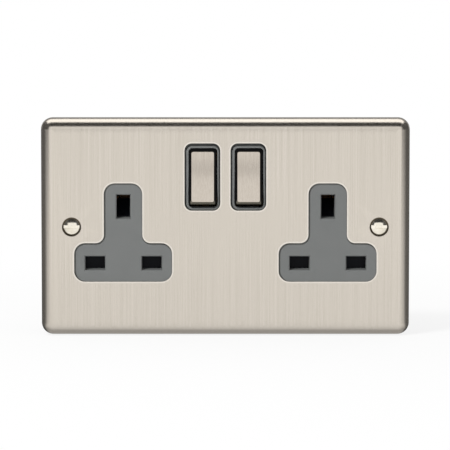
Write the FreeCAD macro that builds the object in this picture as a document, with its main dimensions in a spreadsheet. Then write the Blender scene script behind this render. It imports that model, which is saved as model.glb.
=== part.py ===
import FreeCAD, Part
import math
import os
import Sketcher

# A twin switched socket outlet for a double wall box, in millimetres.
# The wall is the plane y = 0, the steel plate faces -Y, +Z is up and +X is to the right seen from the front.
# The origin is midway between the two fixing screws.

sizes = {
    # steel plate
    "plate_width": 145.0,
    "plate_height": 85.5,
    "plate_depth": 5.0,  # from the wall to the face
    "plate_roll": 4.7,  # radius of the rolled edge and of the corners, which are parts of a ball
    "sheet_gauge": 1.0,
    "fixing_inset": 12.2,  # from the ends of the plate, for a pitch of 120.6
    "fixing_hole_radius": 2.1,
    "sink_radius": 3.85,  # countersink at the face
    # fixing screws
    "screw_head_radius": 3.25,
    "screw_head_dome": 0.95,
    "screw_crown_radius": 1.6,
    "screw_radius": 1.75,
    "screw_neck_radius": 1.5,  # the plain neck, which ends clear of the plate
    "screw_neck_past": 0.4,
    "screw_length": 25.0,
    "screw_slot_width": 1.2,
    "screw_slot_depth": 1.0,
    "seat_gap": 0.03,  # between a countersunk head and its seat
    # socket faces
    "socket_inset": 32.4,  # from the ends of the plate
    "face_top": 17.4,
    "face_height": 38.9,
    "face_base_width": 38.3,
    "face_base_height": 15.05,
    "face_stem_width": 14.95,
    "face_corner": 4.2,
    "face_inner_corner": 3.3,
    "face_gap": 0.22,
    "face_recess": 0.35,
    # plug pins and the apertures for them
    "earth_height": 8.1,
    "pin_drop": 22.23,  # earth pin down to the other two
    "pin_spread": 22.23,  # live to neutral
    "earth_slot_width": 5.15,
    "earth_slot_height": 8.95,
    "pin_slot_width": 7.55,
    "pin_slot_height": 5.0,
    "slot_bevel": 0.35,
    "cut_past": 0.5,  # how far a cut runs on past an open side
    "pin_length": 17.7,
    "earth_pin_length": 22.75,
    "pin_end_gap": 0.45,  # from a full pin to the web of its clip
    # front moulding
    "moulding_gauge": 2.4,
    "moulding_inset": 11.0,  # from the ends of the plate
    "moulding_notch_half_height": 5.2,
    "body_top": 33.8,
    "body_bottom": -31.0,
    "body_corner": 2.5,
    "aperture_wall": 1.0,
    "aperture_neck": 0.9,  # length of the walls behind the moulding
    # rockers and their bezels
    "rocker_pitch": 18.0,
    "rocker_height": 19.6,
    "bezel_width": 13.8,
    "bezel_height": 26.2,
    "bezel_corner": 2.75,
    "bezel_gap": 0.1,
    "bezel_rise": 0.8,
    "bezel_bevel": 0.5,
    "well_width": 11.2,
    "well_height": 23.2,
    "well_corner": 0.5,
    "rocker_width": 10.6,
    "rocker_length": 22.0,
    "rocker_back_length": 20.4,
    "rocker_face": 2.5,  # pivot to the front corners
    "rocker_skirt": 1.6,  # pivot to the back edge
    "rocker_wall": 1.1,
    "rocker_dish_radius": 110.0,
    "rocker_tilt": 7.0,
    "rocker_pivot_depth": 1.5,  # behind the plate's face
    "trunnion_radius": 1.0,
    "trunnion_reach": 0.8,
    "running_gap": 0.06,
    "trunnion_end_gap": 0.15,
    "cap_width": 9.1,
    "cap_length": 19.5,
    "cap_gauge": 0.5,
    "cap_corner": 0.9,
    # switch mechanism
    "post_radius": 2.1,
    "post_length": 5.0,
    "post_bore": 1.35,
    "post_floor": -0.4,
    "plunger_radius": 1.25,
    "plunger_end": 7.8,
    "plunger_back": 3.6,
    "rocker_spring_radius": 1.05,
    "rocker_spring_wire": 0.3,
    "rocker_spring_turns": 3.0,
    "arm_gap": 0.45,  # plunger to contact arm
    "arm_gauge": 0.8,
    "arm_width": 5.0,
    "arm_half_length": 8.4,
    "arm_tilt": 8.0,
    "arm_lug_half_height": 0.7,
    "arm_lug_reach": 1.2,
    "lug_gap": 0.1,
    "contact_half": 1.1,
    "contact_rise": 0.5,
    "contact_offset": 6.9,
    "contact_clearance": 0.3,
    "ear_gap": 0.35,
    "ear_half_height": 1.7,
    # conductors
    "strip_gauge": 0.8,
    "strip_width": 3.6,
    "clip_gauge": 0.6,
    "clip_width": 5.0,
    "clip_mouth": 2.8,  # centre to the outside of a flared lip
    "clip_waist": 1.7,  # centre to the gripping face
    "clip_shoulder": 2.7,
    "clip_lean": 0.1,  # of each leaf towards its pinch
    "clip_waist_share": 0.22,  # of the depth, from the mouth
    "clip_bend_share": 0.55,
    "pin_clip_front": 2.9,
    "earth_clip_front": 6.3,
    "earth_clip_height": 6.0,
    "link_height": 14.6,
    "neutral_run_height": -18.7,
    "neutral_run_width": 2.6,
    "strap_bezel_gap": 0.5,
    "strap_width": 4.0,
    "strap_gauge": 0.6,
    "strap_foot": 4.4,
    # terminals
    "terminal_pitch": 11.0,
    "terminal_width": 8.5,
    "terminal_top": -21.6,
    "terminal_height": 7.8,
    "terminal_front": 7.0,
    "wire_hole_radius": 2.2,
    "wire_hole_depth": 6.6,
    "wire_hole_setback": 12.6,
    "clamp_screw_radius": 2.0,
    "clamp_screw_proud": 1.4,  # of the earth bar's back
    "earth_foot_half_width": 3.1,
    "clamp_gap": 0.05,
    # shutters
    "shutter_front_gap": 0.3,
    "shutter_gauge": 1.8,
    "shutter_travel": 6.6,
    "shutter_overlap": 0.65,  # of a blade past its aperture
    "shutter_stem_half_width": 4.0,
    "shutter_window_half_width": 2.1,
    "shutter_window_top": 2.6,
    "shutter_stem_top": 3.4,
    "shutter_ramp_half_width": 2.6,
    "shutter_ramp_depth": 5.8,
    "shutter_ramp_lead": 0.35,  # above the lower edge of the earth aperture
    "shutter_ramp_root": 0.8,
    "post_half_width": 1.6,
    "post_top": -8.0,
    "post_height": 2.0,
    "guide_gap": 0.3,
    "guide_wall": 1.4,
    "guide_lip": 0.8,
    "shutter_spring_radius": 1.4,
    "shutter_spring_wire": 0.4,
    "shutter_spring_turns": 4.0,
    "coil_runs_per_turn": 8,
    "spring_play": 0.05,
    # rear housing
    "housing_inset": 13.5,  # from the ends of the plate
    "housing_waist_inset": 19.0,
    "housing_waist_half_height": 8.0,
    "housing_back": 21.5,
    "housing_wall": 1.5,
    "housing_bevel": 1.0,
    "tray_half_width": 23.0,
    "tray_top": -20.4,
    "tray_front": 5.4,
    "live_run_rise": 1.0,  # of the live bar over the tray
    "live_run_width": 2.1,
    "bay_gap": 0.2,
    "slot_gap": 0.25,
    "pedestal_half": 2.9,
    "corner_screw_inset": 18.2,
    "corner_screw_top": 27.6,
    "corner_screw_bottom": -26.9,
    "pillar_half": 2.7,
    "bush_radius": 2.5,  # to the corners of the hexagon
    "bush_gap": 0.15,
    "corner_screw_radius": 1.5,
    "corner_head_radius": 2.4,
    "corner_head_height": 1.6,
    "corner_hole_gap": 0.15,
    "corner_head_depth": 0.3,  # below the back of the housing
    "corner_tip_gap": 0.4,  # from the plate
}

doc = FreeCAD.newDocument("TwinSocket")
sheet = doc.addObject("Spreadsheet::Sheet", "dims")
for row, (name, value) in enumerate(sizes.items(), start=1):
    sheet.set(f"A{row}", name)
    sheet.set(f"B{row}", str(value))
    sheet.setAlias(f"B{row}", name)
doc.recompute()


class Size:
    # A number together with the sheet formula that gives it.
    def __init__(self, value, formula):
        self.value = value
        self.formula = formula

    def __add__(self, other):
        other = as_size(other)
        return Size(self.value + other.value, f"({self.formula} + {other.formula})")

    def __radd__(self, other):
        return as_size(other) + self

    def __sub__(self, other):
        other = as_size(other)
        return Size(self.value - other.value, f"({self.formula} - {other.formula})")

    def __rsub__(self, other):
        return as_size(other) - self

    def __mul__(self, other):
        other = as_size(other)
        return Size(self.value * other.value, f"({self.formula} * {other.formula})")

    def __rmul__(self, other):
        return as_size(other) * self

    def __truediv__(self, other):
        other = as_size(other)
        return Size(self.value / other.value, f"({self.formula} / {other.formula})")

    def __neg__(self):
        return Size(-self.value, f"(0 - {self.formula})")


def as_size(number):
    if isinstance(number, Size):
        return number
    return Size(float(number), f"{number:.9g}")


class Dimensions:
    # Reads a size from the sheet by its alias.
    def __getattr__(self, name):
        return Size(float(getattr(sheet, name)), f"dims.{name}")


d = Dimensions()

# Levels along Y, from the face back to the floor of the housing
plate_face = -d.plate_depth
plate_back = plate_face + d.sheet_gauge
socket_face = plate_face + d.face_recess
moulding_back = plate_back + d.moulding_gauge
neck_end = moulding_back + d.aperture_neck
shutter_front = neck_end + d.shutter_front_gap
shutter_back = shutter_front + d.shutter_gauge
pivot_y = plate_face + d.rocker_pivot_depth
bezel_face = plate_face - d.bezel_rise
arm_y = pivot_y + d.plunger_end + d.arm_gap + d.arm_gauge / 2
arm_turn = math.radians(d.arm_tilt.value)
contact_reach = (d.arm_gauge / 2 + d.contact_rise) * math.cos(arm_turn) + d.contact_offset * math.sin(arm_turn)
fixed_contact_face = arm_y + contact_reach + d.contact_clearance
live_bar_front = fixed_contact_face + d.contact_rise
pin_web = socket_face + d.pin_length + d.pin_end_gap
pin_strip = pin_web + d.clip_gauge
earth_web = socket_face + d.earth_pin_length + d.pin_end_gap
earth_strip = earth_web + d.clip_gauge
housing_floor = d.housing_back - d.housing_wall

# Places across the face
plate_end = d.plate_width / 2
socket_x = plate_end - d.socket_inset
rocker_x = d.rocker_pitch / 2
fixing_x = plate_end - d.fixing_inset
moulding_half = plate_end - d.moulding_inset
housing_half = plate_end - d.housing_inset
housing_waist = plate_end - d.housing_waist_inset
corner_screw_x = plate_end - d.corner_screw_inset
strap_x = rocker_x + d.bezel_width / 2 + d.strap_bezel_gap + d.strap_width / 2
pin_height = d.earth_height - d.pin_drop
pin_x = d.pin_spread / 2
live_places = (-socket_x + pin_x, socket_x + pin_x)
neutral_places = (-socket_x - pin_x, socket_x - pin_x)
earth_places = (-socket_x, socket_x)
terminal_bottom = d.terminal_top - d.terminal_height
clamp_height = d.terminal_top - d.terminal_height / 2
corner_places = [
    (side * corner_screw_x, height)
    for side in (-1, 1)
    for height in (d.corner_screw_top, d.corner_screw_bottom)
]
terminal_places = {
    "neutral_terminal": -1.5 * d.terminal_pitch,
    "earth_terminal_left": -0.5 * d.terminal_pitch,
    "earth_terminal_right": 0.5 * d.terminal_pitch,
    "live_terminal": 1.5 * d.terminal_pitch,
}

parts = []
cuts = []


# Outlines are lists of corners (across, up) or (across, up, radius), anticlockwise.
def rect(centre, middle, width, height, radius=0):
    left, right = centre - width / 2, centre + width / 2
    low, high = middle - height / 2, middle + height / 2
    return [(left, low, radius), (right, low, radius), (right, high, radius), (left, high, radius)]


def span(left, right, low, high):
    return [(left, low), (right, low), (right, high), (left, high)]


def shifted(loop, across, up=0):
    return [(corner[0] + across, corner[1] + up) + tuple(corner[2:]) for corner in loop]


def mirrored(loop):
    return [(-corner[0],) + tuple(corner[1:]) for corner in reversed(loop)]


def hexagon(across, up, radius):
    # radius runs to the corners, two of which lie to the left and right
    turns = [math.radians(60 * step) for step in range(6)]
    return [(across + radius * round(math.cos(turn), 9), up + radius * round(math.sin(turn), 9)) for turn in turns]


def circle(across, up, radius):
    return {"centre": (as_size(across), as_size(up)), "radius": as_size(radius)}


def unit(start, end):
    length = math.hypot(end[0] - start[0], end[1] - start[1])
    return (end[0] - start[0]) / length, (end[1] - start[1]) / length


def place_point(sketch, element, point, place):
    for kind, size in zip(("DistanceX", "DistanceY"), place):
        index = sketch.addConstraint(Sketcher.Constraint(kind, -1, 1, element, point, size.value))
        sketch.setExpression(f"Constraints[{index}]", size.formula)


def bind_radius(sketch, element, radius):
    index = sketch.addConstraint(Sketcher.Constraint("Radius", element, radius.value))
    sketch.setExpression(f"Constraints[{index}]", radius.formula)


def corner_points(corners, index):
    # The ends of the arc that rounds a corner, or the corner itself twice.
    here = [as_size(value) for value in corners[index][:2]]
    radius = as_size(corners[index][2] if len(corners[index]) > 2 else 0)
    if radius.value <= 0:
        return here, here, radius, None
    before = [as_size(value).value for value in corners[index - 1][:2]]
    after = [as_size(value).value for value in corners[(index + 1) % len(corners)][:2]]
    spot = [value.value for value in here]
    to_before, to_after = unit(spot, before), unit(spot, after)
    half = math.acos(to_before[0] * to_after[0] + to_before[1] * to_after[1]) / 2
    setback = radius * round(1 / math.tan(half), 9)
    first = [here[axis] + setback * round(to_before[axis], 9) for axis in (0, 1)]
    last = [here[axis] + setback * round(to_after[axis], 9) for axis in (0, 1)]
    reach = radius.value / math.sin(half)
    middle = unit((0, 0), (to_before[0] + to_after[0], to_before[1] + to_after[1]))
    centre = [spot[axis] + reach * middle[axis] for axis in (0, 1)]
    return first, last, radius, centre


def draw_loop(sketch, corners):
    if isinstance(corners, dict):
        centre = [size.value for size in corners["centre"]]
        round_shape = Part.Circle(FreeCAD.Vector(*centre, 0), FreeCAD.Vector(0, 0, 1), corners["radius"].value)
        element = sketch.addGeometry(round_shape, False)
        place_point(sketch, element, 3, corners["centre"])
        bind_radius(sketch, element, corners["radius"])
        return
    pieces = []
    for index in range(len(corners)):
        first, last, radius, centre = corner_points(corners, index)
        if centre:
            angles = [math.atan2(end[1].value - centre[1], end[0].value - centre[0]) for end in (first, last)]
            turns_left = (angles[1] - angles[0]) % (2 * math.pi) < math.pi
            start, stop = angles if turns_left else reversed(angles)
            ring = Part.Circle(FreeCAD.Vector(*centre, 0), FreeCAD.Vector(0, 0, 1), radius.value)
            element = sketch.addGeometry(Part.ArcOfCircle(ring, start, stop), False)
            bind_radius(sketch, element, radius)
            pieces.append((element, (1, 2) if turns_left else (2, 1), first))
        following = corner_points(corners, (index + 1) % len(corners))[0]
        ends = [FreeCAD.Vector(point[0].value, point[1].value, 0) for point in (last, following)]
        if (ends[1] - ends[0]).Length < 1e-7:
            continue
        element = sketch.addGeometry(Part.LineSegment(*ends), False)
        pieces.append((element, (1, 2), last))
    for index, (element, points, start) in enumerate(pieces):
        before = pieces[index - 1]
        sketch.addConstraint(Sketcher.Constraint("Coincident", before[0], before[1][1], element, points[0]))
        place_point(sketch, element, points[0], start)


planes = {"front": "XZ_Plane", "side": "YZ_Plane", "top": "XY_Plane"}


def add_sketch(body, plane, level, loops):
    # level runs along the plane's normal: -Y for front, +X for side, +Z for top.
    sketch = body.newObject("Sketcher::SketchObject", f"{body.Name}_sketch")
    face = [item for item in body.Origin.OriginFeatures if item.Role == planes[plane]][0]
    sketch.AttachmentSupport = [(face, "")]
    sketch.MapMode = "FlatFace"
    sketch.AttachmentOffset = FreeCAD.Placement(FreeCAD.Vector(0, 0, level.value), FreeCAD.Rotation())
    sketch.setExpression("AttachmentOffset.Base.z", level.formula)
    for loop in loops:
        draw_loop(sketch, loop)
    return sketch


def start_part(name, x=0, y=0, z=0, tilt=0):
    body = doc.addObject("PartDesign::Body", name)
    body.Label = name
    body.AllowCompound = True
    turn = FreeCAD.Rotation(FreeCAD.Vector(1, 0, 0), as_size(tilt).value)
    body.Placement = FreeCAD.Placement(FreeCAD.Vector(), turn)
    if as_size(tilt).value:
        body.setExpression("Placement.Rotation.Angle", as_size(tilt).formula)
    for axis, size in zip("xyz", (x, y, z)):
        body.setExpression(f"Placement.Base.{axis}", as_size(size).formula)
    parts.append(body)
    return body


def bind(feature, name, size):
    size = as_size(size)
    setattr(feature, name, size.value)
    feature.setExpression(name, size.formula)


def pad(body, plane, low, high, *loops):
    low, high = as_size(low), as_size(high)
    level = -high if plane == "front" else low
    feature = body.newObject("PartDesign::Pad", f"{body.Name}_pad")
    feature.Profile = add_sketch(body, plane, level, loops)
    bind(feature, "Length", high - low)
    return feature


def pocket(body, plane, low, high, *loops):
    low, high = as_size(low), as_size(high)
    level = -low if plane == "front" else high
    feature = body.newObject("PartDesign::Pocket", f"{body.Name}_pocket")
    feature.Profile = add_sketch(body, plane, level, loops)
    feature.Type = "Length"
    bind(feature, "Length", high - low)
    cuts.append(feature)
    return feature


def turned(body, kind, across, loop):
    # A profile (along Y, radius) turned about the line parallel to Y at the given place.
    feature = body.newObject(f"PartDesign::{kind}", f"{body.Name}_{kind.lower()}")
    sketch = add_sketch(body, "side", as_size(across), [loop])
    feature.Profile = sketch
    feature.ReferenceAxis = (sketch, ["H_Axis"])
    feature.Angle = 360
    if kind == "Groove":
        cuts.append(feature)
    return feature


def edges_at(shape, test):
    return [f"Edge{number}" for number, edge in enumerate(shape.Edges, start=1) if test(edge)]


def level_edges(y):
    return lambda edge: all(abs(point.Y - y.value) < 1e-4 for point in edge.Vertexes)


def inside(edge, corners, slack):
    # Whether an edge lies within a rectangle, give or take the slack.
    box = edge.BoundBox
    left, low = [size.value - slack.value for size in corners[0][:2]]
    right, high = [size.value + slack.value for size in corners[2][:2]]
    return left < box.XMin and box.XMax < right and low < box.ZMin and box.ZMax < high


def dress(body, kind, size_name, size, test):
    # Rounds or bevels the edges that the test picks.
    doc.recompute()
    base = body.Tip
    feature = body.newObject(f"PartDesign::{kind}", f"{body.Name}_{kind.lower()}")
    feature.Base = (base, edges_at(base.Shape, test))
    bind(feature, size_name, size)
    return feature


def face_outline(grow):
    # The inverted T of one socket face, grown outwards all round.
    half_stem = d.face_stem_width / 2 + grow
    half_base = d.face_base_width / 2 + grow
    top = d.face_top + grow
    bottom = d.face_top - d.face_height - grow
    shoulder = d.face_top - d.face_height + d.face_base_height + grow
    outer = d.face_corner + grow
    inner = d.face_inner_corner - grow
    right = [
        (half_base, bottom, outer),
        (half_base, shoulder, outer),
        (half_stem, shoulder, inner),
        (half_stem, top, outer),
    ]
    return right + mirrored(right)


def waisted_outline(half_width, waist, waist_half_height, top, bottom, radius):
    # A rectangle pulled in at mid height, clear of the lugs of the wall box.
    right = [
        (half_width, bottom, radius),
        (half_width, -waist_half_height),
        (waist, -waist_half_height),
        (waist, waist_half_height),
        (half_width, waist_half_height),
        (half_width, top, radius),
    ]
    return right + mirrored(right)


def aperture_outlines(grow):
    # Earth above, live and neutral below, for both sockets.
    loops = []
    for centre in earth_places:
        wide, tall = d.pin_slot_width + 2 * grow, d.pin_slot_height + 2 * grow
        loops.append(rect(centre, d.earth_height, d.earth_slot_width + 2 * grow, d.earth_slot_height + 2 * grow))
        loops.append(rect(centre - pin_x, pin_height, wide, tall))
        loops.append(rect(centre + pin_x, pin_height, wide, tall))
    return loops


def make_front_plate():
    plate = start_part("front_plate")
    outline = rect(as_size(0), as_size(0), d.plate_width, d.plate_height, d.plate_roll)
    pad(plate, "front", plate_face, 0, outline)
    dress(plate, "Fillet", "Radius", d.plate_roll, level_edges(plate_face))
    # the hollow behind the sheet, a block of the same form one gauge smaller
    hollow = start_part("plate_hollow")
    parts.remove(hollow)
    inner_roll = d.plate_roll - d.sheet_gauge
    inner_width = d.plate_width - 2 * d.sheet_gauge
    inner_height = d.plate_height - 2 * d.sheet_gauge
    pad(hollow, "front", plate_back, d.sheet_gauge, rect(as_size(0), as_size(0), inner_width, inner_height, inner_roll))
    inner_bevel = inner_roll * (2 - math.sqrt(2))
    dress(hollow, "Chamfer", "Size", inner_bevel, level_edges(plate_back))
    shell = plate.newObject("PartDesign::Boolean", "front_plate_shell")
    shell.Type = "Cut"
    shell.setObjects([hollow])
    # dimples pressed in round the fixing holes
    rim = d.sink_radius + d.sheet_gauge * (math.sqrt(2) - 1)
    throat = plate_face + d.sink_radius - d.fixing_hole_radius
    dimple_end = throat + d.sheet_gauge
    dimples = [circle(side * fixing_x, 0, rim) for side in (-1, 1)]
    pad(plate, "front", plate_back, dimple_end, *dimples)
    for side in (-1, 1):
        sunk = [
            (plate_face - d.cut_past, 0),
            (dimple_end + d.cut_past, 0),
            (dimple_end + d.cut_past, d.fixing_hole_radius),
            (throat, d.fixing_hole_radius),
            (plate_face, d.sink_radius),
            (plate_face - d.cut_past, d.sink_radius),
        ]
        turned(plate, "Groove", side * fixing_x, sunk)
    faces = [shifted(face_outline(0), place) for place in earth_places]
    bezels = [
        rect(side * rocker_x, d.rocker_height, d.bezel_width, d.bezel_height, d.bezel_corner) for side in (-1, 1)
    ]
    pocket(plate, "front", plate_face, plate_back, *faces, *bezels)


def make_plate_bushes():
    bushes = start_part("plate_bushes")
    pad(bushes, "front", plate_back, moulding_back, *[hexagon(x, z, d.bush_radius) for x, z in corner_places])
    thread = d.corner_screw_radius + d.clamp_gap
    pocket(bushes, "front", plate_back, moulding_back, *[circle(x, z, thread) for x, z in corner_places])


def make_front_moulding():
    moulding = start_part("front_moulding")
    sheet_outline = waisted_outline(
        moulding_half,
        housing_waist,
        d.moulding_notch_half_height,
        d.body_top,
        d.body_bottom,
        d.body_corner,
    )
    pad(moulding, "front", plate_back, moulding_back, sheet_outline)
    pad(moulding, "front", socket_face, plate_back, *[shifted(face_outline(-d.face_gap), x) for x in earth_places])
    bezel = {
        "width": d.bezel_width - 2 * d.bezel_gap,
        "height": d.bezel_height - 2 * d.bezel_gap,
        "radius": d.bezel_corner - d.bezel_gap,
    }
    bezels = [rect(side * rocker_x, d.rocker_height, *bezel.values()) for side in (-1, 1)]
    pad(moulding, "front", bezel_face, plate_back, *bezels)
    pad(moulding, "front", moulding_back, neck_end, *aperture_outlines(d.aperture_wall))

    # guides for the shutters: rails beside the stem with lips over it, fences at the ends of the blades
    rail_top = d.shutter_stem_top - d.shutter_travel
    rail_bottom = pin_height + d.pin_slot_height / 2 + d.aperture_wall
    rail_near = d.shutter_stem_half_width + d.guide_gap
    rail_far = rail_near + d.guide_wall
    lip_front = shutter_back + d.guide_gap
    lip_back = lip_front + d.guide_lip
    fence_near = blade_half_width() + d.guide_gap
    fence_top = blade_top()
    fence_bottom = blade_bottom() - d.shutter_travel
    post = span(-d.post_half_width, d.post_half_width, d.post_top - d.post_height, d.post_top)
    rails, lips = [], []
    for x in earth_places:
        for flip in (list, mirrored):
            rails.append(shifted(flip(span(rail_near, rail_far, rail_bottom, rail_top)), x))
            rails.append(shifted(flip(span(fence_near, fence_near + d.guide_wall, fence_bottom, fence_top)), x))
            lips.append(shifted(flip(span(rail_near - 2 * d.guide_gap - d.guide_lip, rail_far, rail_bottom, rail_top)), x))
        rails.append(shifted(post, x))
    pad(moulding, "front", moulding_back, lip_back, *rails)
    pad(moulding, "front", lip_front, lip_back, *lips)

    # through openings
    wells = [rect(side * rocker_x, d.rocker_height, d.well_width, d.well_height, d.well_corner) for side in (-1, 1)]
    pocket(moulding, "front", bezel_face, moulding_back, *wells)
    pocket(moulding, "front", socket_face, neck_end, *aperture_outlines(as_size(0)))
    bush_holes = [hexagon(x, z, d.bush_radius + d.bush_gap) for x, z in corner_places]
    strap_half = d.strap_width / 2 + d.slot_gap
    strap_low = strap_height() - d.strap_foot - d.slot_gap
    strap_hole = span(strap_x - strap_half, strap_x + strap_half, strap_low, strap_height() + strap_half)
    pocket(moulding, "front", plate_back, moulding_back, *bush_holes, strap_hole)

    # bearings for the rocker trunnions, open to the back
    bearing = d.trunnion_radius + d.running_gap
    reach = d.rocker_width / 2 + d.trunnion_reach + d.trunnion_end_gap
    slots = [rect(side * rocker_x, d.rocker_height, 2 * reach, 2 * bearing) for side in (-1, 1)]
    pocket(moulding, "front", pivot_y, moulding_back, *slots)
    for side in (-1, 1):
        low, high = side * rocker_x - reach, side * rocker_x + reach
        pocket(moulding, "side", low, high, circle(pivot_y, d.rocker_height, bearing))

    def is_bezel_rim(edge):
        in_well = any(inside(edge, well, d.slot_gap) for well in wells)
        return level_edges(bezel_face)(edge) and not in_well

    def is_aperture_edge(edge):
        near_aperture = any(inside(edge, aperture, d.slot_gap) for aperture in aperture_outlines(as_size(0)))
        return level_edges(socket_face)(edge) and near_aperture

    dress(moulding, "Chamfer", "Size", d.bezel_bevel, is_bezel_rim)
    dress(moulding, "Chamfer", "Size", d.slot_bevel, is_aperture_edge)


def blade_half_width():
    return pin_x + d.pin_slot_width / 2 + d.shutter_overlap


def blade_top():
    return pin_height + d.pin_slot_height / 2 + d.shutter_overlap


def blade_bottom():
    return pin_height - d.pin_slot_height / 2 - d.shutter_overlap


def strap_height():
    # the top face of the earth strap, level with the middle of the earth clips
    return d.earth_height + d.strap_gauge / 2


def make_shutter(name, x):
    shutter = start_part(name, x)
    stem = d.shutter_stem_half_width
    wide = blade_half_width()
    right = [
        (wide, blade_bottom()),
        (wide, blade_top()),
        (stem, blade_top()),
        (stem, d.shutter_stem_top),
    ]
    window_bottom = d.post_top - d.post_height - d.guide_gap
    window = span(-d.shutter_window_half_width, d.shutter_window_half_width, window_bottom, d.shutter_window_top)
    pad(shutter, "front", shutter_front, shutter_back, right + mirrored(right))
    # the cam that the earth pin wedges down
    cam_low = d.earth_height - d.earth_slot_height / 2 + d.shutter_ramp_lead
    cam_high = cam_low + d.shutter_travel
    cam_back = shutter_front + d.shutter_ramp_depth
    cam_foot = d.shutter_stem_top - d.shutter_ramp_root
    cam = [(shutter_front, cam_foot), (cam_back, cam_foot), (cam_back, cam_high), (shutter_front, cam_low)]
    pad(shutter, "side", -d.shutter_ramp_half_width, d.shutter_ramp_half_width, cam)
    pocket(shutter, "front", shutter_front, shutter_back, window)


def coil(name, radius, wire, turns, length, place):
    # A compression spring of square wire wound about its own Z axis, drawn with straight runs.
    radius, wire, turns, length = [as_size(size).value for size in (radius, wire, turns, length)]
    runs = round(turns * sheet.coil_runs_per_turn)
    step = 2 * math.pi / sheet.coil_runs_per_turn
    rise = (length - wire) / runs
    points = [
        FreeCAD.Vector(radius * math.cos(step * run), radius * math.sin(step * run), wire / 2 + rise * run)
        for run in range(runs + 1)
    ]
    half = wire / 2
    section = [(-half, -half), (half, -half), (half, half), (-half, half), (-half, -half)]
    profile = Part.makePolygon([points[0] + FreeCAD.Vector(out, 0, up) for out, up in section])
    sweep = Part.BRepOffsetAPI.MakePipeShell(Part.makePolygon(points))
    sweep.setTransitionMode(1)
    sweep.add(profile)
    sweep.build()
    sweep.makeSolid()
    spring = doc.addObject("Part::Feature", name)
    spring.Label = name
    spring.Shape = sweep.shape()
    spring.Placement = place
    parts.append(spring)
    return spring


def upright(x, y, z):
    return FreeCAD.Placement(FreeCAD.Vector(x.value, y.value, z.value), FreeCAD.Rotation())


def in_rocker(x, depth):
    # on the axis of a rocker's post, behind the pivot by the depth, with the local Z axis pointing out of the post
    tilt = -math.radians(d.rocker_tilt.value)
    spot = FreeCAD.Vector(
        x.value, pivot_y.value + depth.value * math.cos(tilt), d.rocker_height.value + depth.value * math.sin(tilt)
    )
    return FreeCAD.Placement(spot, FreeCAD.Rotation(FreeCAD.Vector(1, 0, 0), -90 - d.rocker_tilt.value))


def make_rocker(name, x):
    rocker = start_part(name, x, pivot_y, d.rocker_height, -d.rocker_tilt)
    half = d.rocker_length / 2
    back = d.rocker_back_length / 2
    profile = [(-d.rocker_face, -half), (d.rocker_skirt, -back), (d.rocker_skirt, back), (-d.rocker_face, half)]
    side = d.rocker_width / 2
    pad(rocker, "side", -side, side, profile)
    # hollow back with a post for the spring
    floor = -d.rocker_face + 2 * d.rocker_wall
    room = rect(as_size(0), as_size(0), d.rocker_width - 2 * d.rocker_wall, d.rocker_back_length - 2 * d.rocker_wall)
    pocket(rocker, "front", floor, d.rocker_skirt, room)
    pad(rocker, "front", floor, d.post_length, circle(0, 0, d.post_radius))
    pocket(rocker, "front", d.post_floor, d.post_length, circle(0, 0, d.post_bore))
    reach = side + d.trunnion_reach
    pad(rocker, "side", side, reach, circle(0, 0, d.trunnion_radius))
    pad(rocker, "side", -reach, -side, circle(0, 0, d.trunnion_radius))
    # dished face, a cylinder about a line in front of it
    dish_centre = dish_depth() - d.rocker_dish_radius
    pocket(rocker, "side", -side, side, circle(dish_centre, 0, d.rocker_dish_radius))


def dish_depth():
    # the bottom of the dish, behind the pivot's own level by this much (negative is in front)
    half = d.rocker_length.value / 2
    sag = d.rocker_dish_radius.value - math.sqrt(d.rocker_dish_radius.value ** 2 - half ** 2)
    return -d.rocker_face + sag


def make_rocker_cap(name, x):
    cap = start_part(name, x, pivot_y, d.rocker_height, -d.rocker_tilt)
    outline = rect(as_size(0), as_size(0), d.cap_width, d.cap_length, d.cap_corner)
    front = -d.rocker_face - 2 * d.cap_gauge
    pad(cap, "front", front, dish_depth(), outline)
    side = d.rocker_width / 2
    centre = dish_depth() - d.rocker_dish_radius
    pocket(cap, "side", -side, side, circle(centre, 0, d.rocker_dish_radius - d.cap_gauge))
    # what lies behind the dish, outside the cylinder of its seat, comes off too
    beyond = d.rocker_dish_radius + 4 * d.cap_gauge
    pocket(cap, "side", -side, side, circle(centre, 0, beyond), circle(centre, 0, d.rocker_dish_radius))


def make_plunger(name, x):
    plunger = start_part(name, x, pivot_y, d.rocker_height, -d.rocker_tilt)
    pad(plunger, "front", d.plunger_back, d.plunger_end, circle(0, 0, d.plunger_radius))


def make_switch_arm(name, x):
    arm = start_part(name, x, arm_y, d.rocker_height, d.arm_tilt)
    half_gauge = d.arm_gauge / 2
    half_width = d.arm_width / 2
    strip = rect(as_size(0), as_size(0), d.arm_width, 2 * d.arm_half_length)
    pad(arm, "front", -half_gauge, half_gauge, strip)
    lugs = rect(as_size(0), as_size(0), 2 * (half_width + d.arm_lug_reach), 2 * d.arm_lug_half_height)
    pad(arm, "front", -half_gauge, half_gauge, lugs)
    tip = rect(as_size(0), d.contact_offset, 2 * d.contact_half, 2 * d.contact_half)
    pad(arm, "front", half_gauge, half_gauge + d.contact_rise, tip)


def clip_profile(front, web):
    # One folded strip: two leaves that flare, pinch and join at a web. Pairs (along Y, from the centre).
    thick = d.clip_gauge
    depth = web - front
    waist_y = front + depth * d.clip_waist_share
    bend_y = front + depth * d.clip_bend_share
    outer = [
        (web + thick, d.clip_shoulder),
        (bend_y, d.clip_shoulder - d.clip_lean),
        (waist_y, d.clip_waist + thick),
        (front, d.clip_mouth),
    ]
    inner = [
        (front, d.clip_mouth - thick),
        (waist_y, d.clip_waist),
        (bend_y, d.clip_shoulder - d.clip_lean - thick),
        (web, d.clip_shoulder - thick),
    ]
    upper = outer + inner
    lower = [(along, -off) for along, off in reversed(upper)]
    return upper + lower


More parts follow.
